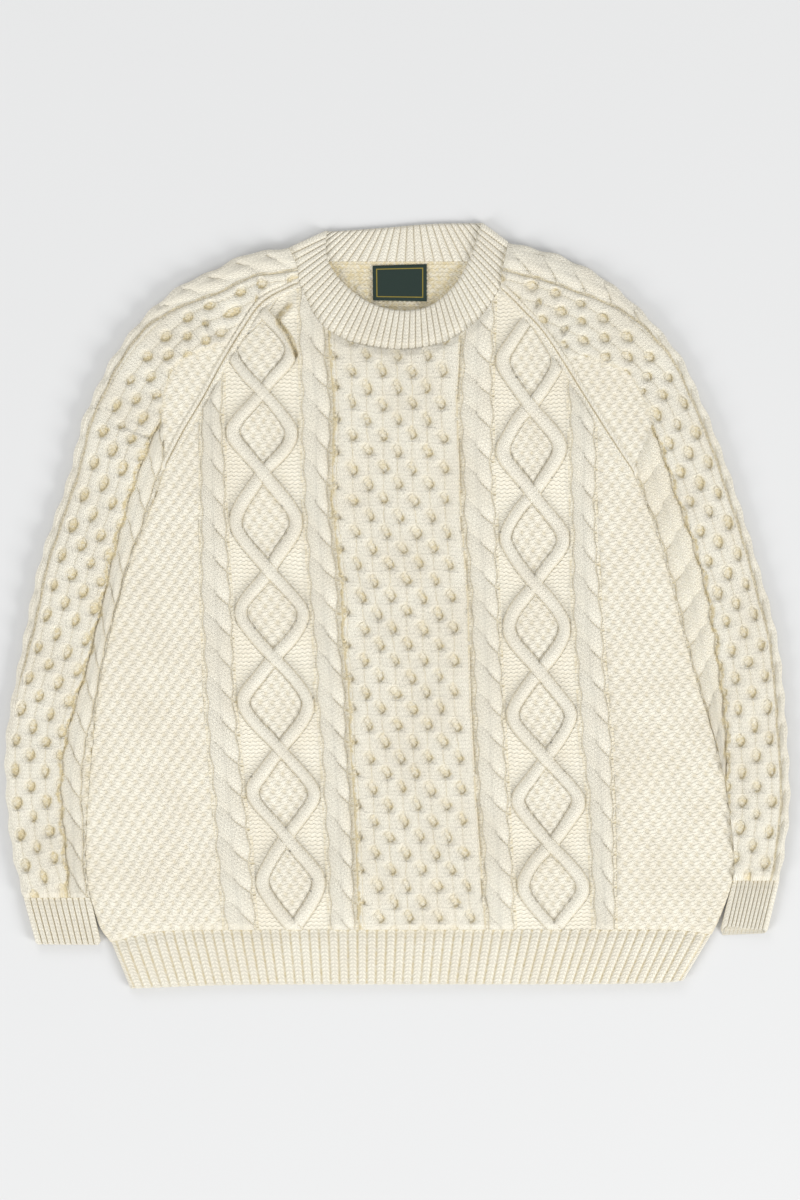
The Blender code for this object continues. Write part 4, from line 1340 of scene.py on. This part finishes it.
def make_hem(name, front, sizes, look):
    """One half of the hem: ribs outside, flat inside, and a rolled free edge."""
    per_rib = 9
    columns = HEM_RIBS * per_rib
    seam = shifted(resampled(smooth(HEM_SEAM, 6), columns), -SEAM)
    free = resampled(smooth(HEM_FREE, 6), columns)
    phase = np.arange(columns + 1) / per_rib + 0.5
    share = rib_share(phase)
    ends = np.minimum(np.arange(columns + 1), columns - np.arange(columns + 1)) / per_rib
    end_round = rounded(ends * HEM_RIB_WIDTH, 9)
    length = np.linalg.norm(free - seam, axis=1)
    along = (free - seam) / length[:, None]
    rise = sizes.rib_rise / MM
    lean = 0.35 * np.sin(np.arange(columns + 1) * 0.021)
    if front:
        low, high = UPPER_Z, UPPER_Z + 0.9 + (RIB_WALL - 0.9 + rise * share + 0.5) * end_round
    else:
        low, high = BACK_WALL, (1 - share) * 1.5 * end_round + (BACK_WALL - 1.0) * (1 - end_round)
    radius = 2.4
    reach = length - radius
    middle = (low + high) / 2
    rows, shares = [], []

    def add_row(out, aside, z, share_down):
        place = seam + along * out[:, None]
        rows.append(np.column_stack([place[:, 0] + aside, place[:, 1], z + 0 * lean]))
        shares.append(share_down)

    top_rows, turn_rows = 24, 7
    for k in range(top_rows + 1):
        t = k / top_rows
        swell = 0.7 * math.sin(math.pi * t) if front else 0.0
        start = 1 - (0.45 * math.exp(-((t * 8) ** 2)) if front else 0)
        add_row(reach * t, lean * t, low + (high - low) * start + swell * end_round, t)
    for k in range(1, turn_rows + 1):
        angle = math.pi * k / turn_rows
        out = reach + radius * math.sin(angle) * (0.75 + 0.25 * share)
        add_row(out, lean, middle + (high - middle) * math.cos(angle), 1 + 0.05 * k)
    for t in (0.7, 0.35, 0.0):
        add_row(reach * t, 0, low, 1.4 + (1 - t))
    cloth = Cloth()
    # Painted shade between the ribs.
    rib_grid(cloth, np.array(rows), phase, np.array(shares), float(length.mean()), False, 0.72, flip=front)
    return cloth.object(name, look_rib(look))


def shared_wool(name, look, shade):
    """The wool of like pieces, made once."""
    return bpy.data.materials.get(name) or wool(name, look, shade)


def look_rib(look):
    return shared_wool("rib_wool", look, 0.985)


def rib_tube(cloth, upper, under, ribs, folds, rise, dark, inner_rise, radius=2.3):
    """A ribbed tube pressed flat, closed round at both folds, with its free edge rolled in.

    upper and under are (seam, free) curves from -X to +X. ribs is their number of ribs. folds gives, for -X
    and +X, the way each fold bulges at the seam. rise is the height of a rib outside, and inner_rise inside.
    dark is the shade painted between ribs, and radius how far the free edge's roll reaches.
    """
    per_rib = 8
    layers = [
        [resampled(line, count * per_rib, RIB_FOLD) for line in lines]
        for lines, count in zip((upper, under), ribs)
    ]

    def heights(layer, share):
        """The outer and the inner side of the upper or the under layer."""
        if layer == 0:
            return UPPER_Z + RIB_WALL + 0.3 + rise * share, np.full(len(share), UPPER_Z)
        return (1 - share) * 1.4, RIB_WALL + 0.1 + inner_rise * share

    # Round the tube: the upper layer, the fold at +X, the under layer from +X to -X, and the fold at -X.
    # Each part has its seam, free edge, inner seam, inner free edge, outer and inner height, and ribs so far.
    parts = []
    so_far = 0.5
    for layer, sign in ((0, 1), (1, -1)):
        seam, free = (line[::sign] for line in layers[layer])
        ph = so_far + np.arange(len(seam)) / per_rib
        parts.append((seam, free, seam, free, *heights(layer, rib_share(ph)), ph))
        so_far += (len(seam) - 1) / per_rib
        at = -1 if sign > 0 else 0
        (a_seam, a_free), (b_seam, b_free) = ([line[at] for line in layers[k]] for k in (layer, 1 - layer))
        t = np.arange(1, per_rib) / per_rib
        ph = so_far + t
        outer_a, inner_a = heights(layer, rib_share(np.array([so_far])))
        outer_b, inner_b = heights(1 - layer, rib_share(np.array([so_far + 1.0])))
        along = a_free - a_seam
        out = np.array([along[1], -along[0]]) / np.linalg.norm(along)
        out = out if out[0] * sign > 0 else -out
        way = np.array(folds[1] if sign > 0 else folds[0], float)
        out_seam = way / np.linalg.norm(way)
        share, t = t, t[:, None]
        bulge = (RIB_FOLD + 0.7 * (rib_share(ph)[:, None] - 0.5)) * np.sin(math.pi * t)
        inner_seam, inner_free = a_seam * (1 - t) + b_seam * t, a_free * (1 - t) + b_free * t
        parts.append((
            inner_seam + out_seam * bulge, inner_free + out * bulge, inner_seam, inner_free,
            (outer_a + outer_b) / 2 + (outer_a - outer_b) / 2 * np.cos(math.pi * share),
            inner_a * (1 - share) + inner_b * share, ph,
        ))
        so_far += 1.0
    seam, free, inner_seam, inner_free, outer_z, inner_z, phase = map(np.concatenate, zip(*parts))
    length = np.linalg.norm(free - seam, axis=1)
    along = (free - seam) / length[:, None]
    share = rib_share(phase)
    rows, shares = [], []
    reach = length - radius
    inner_length = np.linalg.norm(inner_free - inner_seam, axis=1)
    inner_along = (inner_free - inner_seam) / inner_length[:, None]
    top_rows, turn_rows, inner_rows = 20, 7, 16 if inner_rise else 3
    for k in range(top_rows + 1):
        t = k / top_rows
        sink = 0.35 * math.exp(-((t * 7) ** 2))
        z = outer_z + (inner_z - outer_z) * sink
        rows.append(np.column_stack([seam + along * (reach * t)[:, None], z]))
        shares.append(t)
    middle, half = (outer_z + inner_z) / 2, (outer_z - inner_z) / 2
    for k in range(1, turn_rows):
        t = k / turn_rows
        angle = math.pi * k / turn_rows
        outer_place = seam + along * (reach + radius * math.sin(angle) * (0.8 + 0.2 * share))[:, None]
        inner_place = inner_seam + inner_along * (inner_length - radius + radius * math.sin(angle))[:, None]
        place = outer_place * (1 - t) + inner_place * t
        rows.append(np.column_stack([place, middle + half * math.cos(angle)]))
        shares.append(1 + 0.05 * k)
    for k in range(inner_rows + 1):
        t = 1 - k / inner_rows
        place = inner_seam + inner_along * ((inner_length - radius) * t)[:, None]
        rows.append(np.column_stack([place, inner_z]))
        shares.append(1.4 + (1 - t))
    rib_grid(cloth, np.array(rows), phase, np.array(shares), float(length.mean()), True, dark, flip=True)


def make_cuff(side, sizes, look):
    seam_outer = np.array(side.fold[-1]) - np.array([0, SEAM])
    seam_inner = above(smooth(side.body), side.fold[-1][1])[0]
    seam_inner = seam_inner + np.array([side.sign * SLEEVE_CLEARANCE, -SEAM])
    seam = np.array([seam_inner, seam_outer])[:: side.sign]
    layers = [(seam, np.array(ends, float)[:: side.sign]) for ends in (side.cuff, side.under_cuff)]
    cloth = Cloth()
    # Painted shade between the ribs.
    rib_tube(cloth, *layers, (CUFF_RIBS, CUFF_RIBS), ((-1, 0), (1, 0)), sizes.rib_rise / MM, 0.6, 0.0)
    piece = cloth.object("cuff_knit_" + side.name, look_rib(look))
    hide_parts("cuff_" + side.name)
    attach(piece, "root")


def make_neckband(sizes, look):
    right, left = SIDES
    layers = []
    for start, middle, end, free in (
        (right.neck, NECK_FRONT, left.neck, BAND_FREE_FRONT),
        (right.back_neck, NECK_BACK, left.back_neck, BAND_FREE_BACK),
    ):
        seam = np.vstack([smooth(start[::-1], 4)[:-1], smooth(middle, 4)[:-1], smooth(end, 4)])
        layers.append((shifted(seam, SEAM), smooth(free, 6)))
    folds = [np.array(side.neck[-1], float) - np.array(side.neck[-2], float) for side in SIDES]
    cloth = Cloth()
    rise = 0.8 * sizes.rib_rise / MM
    # Painted shade between the ribs.
    rib_tube(cloth, *layers, (BAND_FRONT_RIBS, BAND_BACK_RIBS), folds, rise, 0.27, 1.9, radius=2.6)
    piece = cloth.object("neckband_knit", look_rib(look))
    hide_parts("neckband")
    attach(piece, "root")


def make_label(look):
    """The label: a soft flat grid above, and one flat face below."""
    corners = np.array(LABEL, float)
    wide, tall = 40, 28  # cells across and down
    u, v = np.linspace(0, 1, wide + 1), np.linspace(0, 1, tall + 1)
    uu, vv = (grid[..., None] for grid in np.meshgrid(u, v))
    flat = (
        corners[3] * ((1 - uu) * (1 - vv)) + corners[2] * (uu * (1 - vv))
        + corners[1] * (uu * vv) + corners[0] * ((1 - uu) * vv)
    ).reshape(-1, 2)
    x, y = flat.T
    soft = 0.25 * np.sin(x / 9) * np.sin(y / 11 + 1) + 0.25
    to_sides = [np.minimum(at, 1 - at).ravel() * size for at, size in zip((uu, vv), LABEL_SIZE)]
    z = UPPER_Z + 0.1 + (LABEL_THICKNESS + soft) * (0.35 + 0.65 * rounded(np.minimum(*to_sides), 1.1))
    cloth = Cloth()
    cloth.add_points(np.column_stack([flat, z]))
    faces, across, down = grid_faces(tall + 1, wide + 1, 0, False, False)
    cloth.add_faces(faces, {"u": u[across], "v": v[down]})
    number = np.arange(len(flat)).reshape(tall + 1, wide + 1)
    ring = np.concatenate([number[0], number[1:, -1], number[-1, -2::-1], number[-2:0:-1, 0]])
    below = cloth.add_points(np.column_stack([flat[ring], np.full(len(ring), UPPER_Z)]))
    cloth.add_faces(wall(ring, below + np.arange(len(ring)), flip=True))
    cloth.add_faces(cap(below, len(ring)))
    piece = cloth.object("label_patch", woven_label("label_weave", look))
    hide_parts("neck_label")
    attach(piece, "root")


class SleevePattern:
    """The sleeve's stitches, by how far a place is along its outer fold and in from it."""

    def __init__(self, side, raglan):
        self.side = side
        self.fold = spaced(smooth(side.fold, 8), 2.0)
        self.along = lengths_along(self.fold)
        self.half_period = self.along[-1] / int(self.along[-1] / (TWIST / 2))
        strip = np.array(side.strip, float)
        self.strip = np.interp(self.fold[:, 1], strip[:, 0], strip[:, 1])
        self.rope = np.minimum(self.strip, 8.6 + 19 * ramp(self.fold[:, 1], 262, 335))
        self.gutter = smooth(side.gutter, 6)
        self.body = smooth(side.body, 6)
        self.raglan = smooth(raglan, 8)
        self.patch = smooth(side.patch, 6)
        edge = smooth(side.raglan, 6)
        self.patch_area = np.vstack([self.patch, edge[edge[:, 1] < self.patch[0, 1]]])

    def towards_fold(self, x, y, curve):
        """How far a place lies from a curve that runs down the sleeve, positive towards the outer fold."""
        order = curve[:, 1].argsort()
        return (x - np.interp(y, curve[order, 1], curve[order, 0])) * self.side.sign

    def from_fold(self, x, y):
        """How far in from the outer fold, how far along it, and where the honeycomb starts and the rope ends."""
        depth, along = nearest(x, y, self.fold)
        return depth, along, *(np.interp(along, self.along, border) for border in (self.strip, self.rope))

    def from_gutter(self, x, y):
        """How far from the gutter towards the outer fold, and how far the gutter is from the body's edge."""
        to_gutter = self.towards_fold(x, y, self.gutter)
        return to_gutter, np.abs(self.towards_fold(x, y, self.body) - to_gutter)

    def patch_depth(self, x, y):
        """Positive inside the plain patch between the honeycomb and the raglan seam."""
        distance, _ = nearest(x, y, self.patch)
        return np.where(inside(x, y, self.patch_area), distance, -distance)

    def __call__(self, x, y, face_x, face_y):
        sign = self.side.sign
        tension = (0.5, 50, 7), (0.6, 55, 8)
        (x, y), (face_x, face_y) = swayed(x, y, *tension), swayed(face_x, face_y, *tension)
        depth, along, strip, edge = self.from_fold(x, y)
        face_depth, face_along, face_strip, face_edge = self.from_fold(face_x, face_y)
        column, face_column, first_strand = (
            at / HOLE_PITCH - FIRST_HOLE
            for at in (depth - strip, face_depth - face_strip, edge - strip + 0.7)
        )
        cloth = {**plain(x), **honeycomb(
            column, along, face_column, HOLE_PITCH, 2 * self.half_period, (first_strand, 99), (0, 99, 0),
            hand=-sign, hole_shade=0.34 if sign > 0 else 0.5, lean=0.0,
        )}
        # The strip along the outer fold is a cable, which turns round to the under layer.
        radius, face_radius = np.clip(edge * 0.62, 5.0, 12), np.clip(face_edge * 0.62, 5.0, 12)
        rope = cable(
            sign * (depth - edge + radius), along / TWIST, sign * (face_depth - face_edge + face_radius),
            face_along / TWIST, radius - 0.5,
        )
        choose(cloth, face_depth < face_edge, rope)
        # A gutter with painted shade parts this cable from the honeycomb.
        self.cut(cloth, np.abs(depth - edge + 0.9 * np.sin(2 * math.pi * along / TWIST)), 1.7, 0.48, 3.5)
        # Towards the body, past a wavy gutter, a narrow cable runs down to the cuff beside a strip of moss.
        top = self.side.gutter[0][1]
        to_gutter, reach = self.from_gutter(x, y)
        face_to_gutter, face_reach = self.from_gutter(face_x, face_y)
        share, most = (0.46, 15.0) if sign > 0 else (0.43, 9.0)
        half, face_half = (np.clip(at * share - 0.8, 3.6, most) for at in (reach, face_reach))
        rope = cable(
            -(to_gutter + half + 1), (top - y) / TWIST, -(face_to_gutter + face_half + 1),
            (top - face_y) / TWIST, half, 5.4, (0.0, 0.7) if sign > 0 else (-1.0, -0.3),
        )
        # The narrow cable and the moss beside it get painted shade, as the fold towards the body shades them.
        rope["deep_shade"] = rope["deep_shade"] + (0.14 if sign > 0 else 0.05)
        below = (face_to_gutter < 0) & (face_y < top)
        choose(cloth, below, rope)
        filling = moss_filling(x, y, 1.6)
        filling["deep_shade"] = filling["deep_shade"] * 0.6 + 0.4 * ramp(-to_gutter - 2 * half, 1, 8)
        choose(cloth, below & (face_to_gutter < -2 * face_half - 2.5), filling)
        # A wavy gutter, sunk and with painted shade in it, runs down beside the narrow cable.
        wavy = to_gutter + 1.8 * np.sin(2 * math.pi * (top - y) / TWIST)
        narrow = 0.35 * np.sin(y * 0.9) + 0.35 * np.sin(y * 0.37 + 1)
        gutter = np.where(y < top + 1, np.abs(wavy) + narrow, FAR)
        self.cut(cloth, gutter, 3.6 if sign < 0 else 3.0, 1.25, 1.0)
        # Above the gutter, a patch of moss fills the corner at the armpit.
        filling = moss_filling(x, y, 1.8)
        filling["rise"] = filling["rise"] + 0.8
        choose(cloth, self.patch_depth(face_x, face_y) > 0, filling)
        # The patch's border is sunk, with painted shade in it.
        self.cut(cloth, np.abs(self.patch_depth(x, y)), 3.0, 0.3, 2.0)
        along_seam(cloth, self.raglan, x, y, face_x, face_y)
        return cloth

    @staticmethod
    def cut(cloth, distance, reach, dark, floor):
        """Sinks the relief into a narrow gutter, down to floor, and paints shade into it."""
        cloth["rise"] = cloth["rise"] * (0.6 + 0.4 * ramp(distance, 0.2, reach))
        cloth["rise"] = np.where(distance < 5, np.maximum(cloth["rise"], floor), cloth["rise"])
        cloth["deep_shade"] = np.maximum(cloth["deep_shade"], dark * (1 - ramp(distance, 0.2, reach * 0.7)))


def even_grid(outline, cell):
    """A grid of square cells over an outline."""
    low, high = outline.min(0), outline.max(0)
    x, y = np.arange(low[0], high[0] + cell, cell), np.arange(low[1], high[1] + cell, cell)
    return np.meshgrid(x, y)


def strip(line, other):
    """Quads between two open lines of points."""
    return np.column_stack([line[:-1], line[1:], other[1:], other[:-1]])


def corners_of(grid):
    """A grid's values at the four corners of each of its cells."""
    return np.stack([grid[:-1, 1:], grid[:-1, :-1], grid[1:, :-1], grid[1:, 1:]], axis=-1).reshape(-1, 4)


def turned_out(top, ends, reach=12):
    """The way each place of a fold bulges: square to it, and turning to a given way at its ends."""
    out = -normals_left(top[:, :2])
    for end, way in ends.items():
        for k in range(reach):
            at = k if end == 0 else -1 - k
            share = 1 - k / reach
            out[at] = out[at] * (1 - share) + np.array(way, float) / np.linalg.norm(way) * share
            out[at] /= np.linalg.norm(out[at])
    return out


def folded(top, low, out, bulge, steps=8):
    """Rows of points round a fold, between the edges of an upper and an under layer."""
    middle, half = (top[:, 2] + low[:, 2]) / 2, (top[:, 2] - low[:, 2]) / 2
    rows = []
    for s in np.arange(1, steps) / steps:
        flat = top[:, :2] * (1 - s) + low[:, :2] * s + out * (bulge * math.sin(math.pi * s))[:, None]
        rows.append(np.column_stack([flat, middle + half * math.cos(math.pi * s)]))
    return rows


# A sleeve's outline has five runs: inner fold, raglan, neck, outer fold and cuff.
INNER_FOLD, OUTER_FOLD = 0, 3


def make_sleeve(side, sizes, look):
    """A sleeve pressed flat: an upper and an under layer that turn into each other at two folds."""
    cell = sizes.sleeve_cell / MM
    under_cell = 1.6 * cell
    sign = side.sign
    outer = smooth(side.fold, 6)
    inner = above(smooth(side.body, 4), side.fold[-1][1])
    below_armpit = lengths_along(inner[::-1])[::-1]
    inner_inset = SEAM + 0.5 * ramp(below_armpit, 0, 34)
    insets = [inner_inset, SEAM, SEAM, SLEEVE_FOLD, SEAM]

    def ring(raglan, neck, step, counts):
        runs = [inner, smooth(raglan, 4), smooth(neck, 4), outer, np.array([outer[-1], inner[0]])]
        if sign < 0:
            return ringed(runs, insets, step, counts)
        counts = counts and counts[::-1]
        turned = [inset if np.isscalar(inset) else inset[::-1] for inset in insets[::-1]]
        outline, spans = ringed([run[::-1] for run in runs[::-1]], turned, step, counts)
        return outline, spans[::-1]

    upper, upper_spans = ring(side.raglan, side.neck, cell * 1.1, None)
    counts = [None] * 5
    for number in (INNER_FOLD, OUTER_FOLD):
        counts[number] = len(upper_spans[number]) - 1
    under, under_spans = ring(side.back_raglan, side.back_neck, under_cell, counts)
    cloth = Cloth()
    # Upper layer
    pattern = SleevePattern(side, side.raglan)
    filling = filled(upper, *even_grid(upper, cell), cell * GRID_CLEARANCE)
    x, y = filling[0].T
    found = pattern(x, y, x, y)
    seams = np.minimum(away_from(x, y, side.raglan), away_from(x, y, side.neck) * 0.8)
    cuff_distance = y - side.fold[-1][1]
    from_folds = np.minimum(nearest(x, y, outer)[0], nearest(x, y, inner)[0])
    swell = 2.2 * ramp(np.minimum(from_folds, seams), 0, 36) + 0.8 * wobble(x, y, 90, 5)
    swell *= ramp(cuff_distance, 0, 30)
    rise = found["rise"] * (0.4 + 0.6 * ramp(np.minimum(cuff_distance, seams * 1.4), 0.0, 5.0))
    body = FRONT_WALL + np.maximum(swell, -0.8) + rise
    seam = np.minimum(seams, np.maximum(cuff_distance, 0) * 1.2)
    first = cloth.layer(filling, UPPER_Z + sunk(body, seam), pattern)
    # Under layer
    pattern = SleevePattern(side, side.back_raglan)
    filling = filled(under, *even_grid(under, under_cell), under_cell * GRID_CLEARANCE)
    x, y = filling[0].T
    bottom = cloth.layer(filling, pressed(pattern(x, y, x, y), 1.6), pattern, flip=True)
    inside_up = cloth.add_points(np.column_stack([upper, np.full(len(upper), UPPER_Z)]))
    inside_down = cloth.add_points(np.column_stack([under, np.full(len(under), SLEEVE_UNDER_WALL)]))
    # Painted shade on the wrong side, inside the sleeve.
    wrong = {"purl": 1, "deep_shade": 0.4}
    cloth.add_faces(cap(inside_up, len(upper)), wrong)
    cloth.add_faces([list(range(inside_down, inside_down + len(under)))], wrong)
    points_now = np.vstack(cloth.points)
    # The inner fold runs up from the cuff, and the outer one down from the neck.
    begin, end = (0, -1) if sign < 0 else (-1, 0)
    inner_ends = {begin: (-sign, 0)}
    outer_ends = {begin: np.subtract(side.neck[-1], side.neck[-2]), end: (sign, 0)}
    for number, (a, b) in enumerate(zip(upper_spans, under_spans)):
        if number not in (INNER_FOLD, OUTER_FOLD):
            # An open edge, at a seam or at the cuff
            cloth.add_faces(strip(a + first, a + inside_up)[:, [1, 0, 3, 2]], wrong)
            cloth.add_faces(strip(b + bottom, b + inside_down), wrong)
            continue
        top, low_side = points_now[a + first], points_now[b + bottom]
        length = lengths_along(top[:, :2])
        if number == OUTER_FOLD:
            out = turned_out(top, outer_ends)
            bulge = SLEEVE_FOLD + 0.9 * np.cos(2 * math.pi * length / TWIST + 1.5)
        else:
            out = turned_out(top, inner_ends)
            bulge = np.clip(nearest(*top[:, :2].T, inner)[0] - SLEEVE_CLEARANCE, 0.02, SLEEVE_FOLD)
        rows = folded(top, low_side, out, bulge)
        start = cloth.add_points(np.vstack(rows))
        between = np.arange(len(rows) * len(a)).reshape(len(rows), len(a)) + start
        index = np.vstack([a + first, between, b + bottom])
        u, v = (corners_of(grid) for grid in np.meshgrid(np.arange(len(index)) * 1.7, length, indexing="ij"))
        # Painted shade on the inner fold, beside the body.
        dark = 0.0 if number == OUTER_FOLD else 0.2
        cloth.add_faces(corners_of(index), {"u": u / 3.6, "v": v / STITCH_ROW, "deep_shade": dark})
        cloth.add_faces(strip(a + inside_up, b + inside_down), wrong)
        for at, turn in ((0, 1), (-1, -1)):
            closing = [*index[:, at], b[at] + inside_down, a[at] + inside_up]
            cloth.add_faces([closing[::turn]], wrong)
    piece = cloth.object("sleeve_knit_" + side.name, shared_wool("sleeve_wool", look, 0.99))
    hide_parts("sleeve_" + side.name)
    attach(piece, "root")


# The stage.


def make_stage(look):
    mesh = bpy.data.meshes.new("floor")
    corners = [(x * FLOOR_REACH, y * FLOOR_REACH, 0) for x, y in ((-1, -1), (1, -1), (1, 1), (-1, 1))]
    mesh.from_pydata(corners, [], [(0, 1, 2, 3)])
    floor = bpy.data.objects.new("floor", mesh)
    bpy.context.scene.collection.objects.link(floor)
    net = Net("floor_paint")
    place = net.place()
    color = net.mix(net.noise(place, 3.0, 2.0), tuple(look.floor), scaled(look.floor, 0.985))
    normal = net.bump(net.noise(place, 400.0, 2.0), 0.00002, 0.3)
    mesh.materials.append(net.finish(color, normal, {"Roughness": 0.9, "Specular IOR Level": 0.1}))
    scene = bpy.context.scene
    world = bpy.data.worlds.new("room")
    scene.world = world
    world.use_nodes = True
    background = world.node_tree.nodes["Background"].inputs
    background["Color"].default_value = (0.97, 0.98, 1.0, 1)
    background["Strength"].default_value = ROOM_LIGHT
    for name, place, size, power in LIGHTS:
        lamp = bpy.data.lights.new(name, "AREA")
        lamp.shape, lamp.size, lamp.energy = "SQUARE", size, power
        made = bpy.data.objects.new(name, lamp)
        made.location = place
        made.rotation_euler = (-Vector(place)).to_track_quat("-Z", "Y").to_euler()
        scene.collection.objects.link(made)
    view = bpy.data.cameras.new("camera")
    view.lens, view.sensor_width = CAMERA_LENS, 36
    view.clip_end = 20
    camera = bpy.data.objects.new("camera", view)
    camera.location = CAMERA_PLACE
    scene.collection.objects.link(camera)
    scene.camera = camera
    scene.view_settings.view_transform = "Standard"


# Operators, panel and registration.


def sizes_of(context):
    return context.scene.pullover_sizes


def look_of(context):
    return context.scene.pullover_colors


class PULLOVER_OT_front(bpy.types.Operator):
    """Knit the front: its cables, diamonds, honeycomb and moss"""

    bl_idname = "pullover.front"
    bl_label = "Knit the front"

    def execute(self, context):
        make_front(sizes_of(context), look_of(context))
        return {"FINISHED"}


class PULLOVER_OT_back(bpy.types.Operator):
    """Knit the back, whose wrong side shows in the neck opening"""

    bl_idname = "pullover.back"
    bl_label = "Knit the back"

    def execute(self, context):
        make_back(sizes_of(context), look_of(context))
        return {"FINISHED"}


class PULLOVER_OT_hem(bpy.types.Operator):
    """Knit the ribbed hem of the front and of the back"""

    bl_idname = "pullover.hem"
    bl_label = "Rib the hem"

    def execute(self, context):
        for name, front in (("hem_knit_back", False), ("hem_knit_front", True)):
            piece = make_hem(name, front, sizes_of(context), look_of(context))
            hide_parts("hem_rib_front" if front else "hem_rib_back")
            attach(piece, "root")
        return {"FINISHED"}


class PULLOVER_OT_sleeves(bpy.types.Operator):
    """Knit both sleeves, from the raglan seams to the cuffs"""

    bl_idname = "pullover.sleeves"
    bl_label = "Knit the sleeves"

    def execute(self, context):
        for side in SIDES:
            make_sleeve(side, sizes_of(context), look_of(context))
        return {"FINISHED"}


class PULLOVER_OT_cuffs(bpy.types.Operator):
    """Knit the ribbed cuffs"""

    bl_idname = "pullover.cuffs"
    bl_label = "Rib the cuffs"

    def execute(self, context):
        for side in SIDES:
            make_cuff(side, sizes_of(context), look_of(context))
        return {"FINISHED"}


class PULLOVER_OT_neckband(bpy.types.Operator):
    """Knit the ribbed neckband all round the neck opening"""

    bl_idname = "pullover.neckband"
    bl_label = "Rib the neckband"

    def execute(self, context):
        make_neckband(sizes_of(context), look_of(context))
        return {"FINISHED"}


class PULLOVER_OT_label(bpy.types.Operator):
    """Sew a plain woven label inside the back of the neck"""

    bl_idname = "pullover.label"
    bl_label = "Sew in the label"

    def execute(self, context):
        make_label(look_of(context))
        return {"FINISHED"}


class PULLOVER_OT_stage(bpy.types.Operator):
    """Lay a pale floor and set the lights and the camera above it"""

    bl_idname = "pullover.stage"
    bl_label = "Set the stage"

    def execute(self, context):
        make_stage(look_of(context))
        return {"FINISHED"}


OPERATORS = (
    PULLOVER_OT_front, PULLOVER_OT_back, PULLOVER_OT_hem, PULLOVER_OT_sleeves, PULLOVER_OT_cuffs,
    PULLOVER_OT_neckband, PULLOVER_OT_label, PULLOVER_OT_stage,
)


class PULLOVER_PT_panel(bpy.types.Panel):
    """Sizes, colours and the steps that make the pullover"""

    bl_label = "Pullover"
    bl_space_type = "VIEW_3D"
    bl_region_type = "UI"
    bl_category = "Pullover"

    def draw(self, context):
        for group in (sizes_of(context), look_of(context)):
            box = self.layout.box()
            for name in group.__annotations__:
                box.prop(group, name)
        for operator in OPERATORS:
            self.layout.operator(operator.bl_idname)


CLASSES = (PulloverSizes, PulloverColors, *OPERATORS, PULLOVER_PT_panel)


def register():
    for made in CLASSES:
        bpy.utils.register_class(made)
    bpy.types.Scene.pullover_sizes = bpy.props.PointerProperty(type=PulloverSizes)
    bpy.types.Scene.pullover_colors = bpy.props.PointerProperty(type=PulloverColors)


def unregister():
    del bpy.types.Scene.pullover_colors
    del bpy.types.Scene.pullover_sizes
    for made in reversed(CLASSES):
        bpy.utils.unregister_class(made)


def main():
    register()
    for operator in OPERATORS:
        group, name = operator.bl_idname.split(".")
        getattr(getattr(bpy.ops, group), name)()
    bpy.context.view_layer.update()


if __name__ == "__main__":
    main()
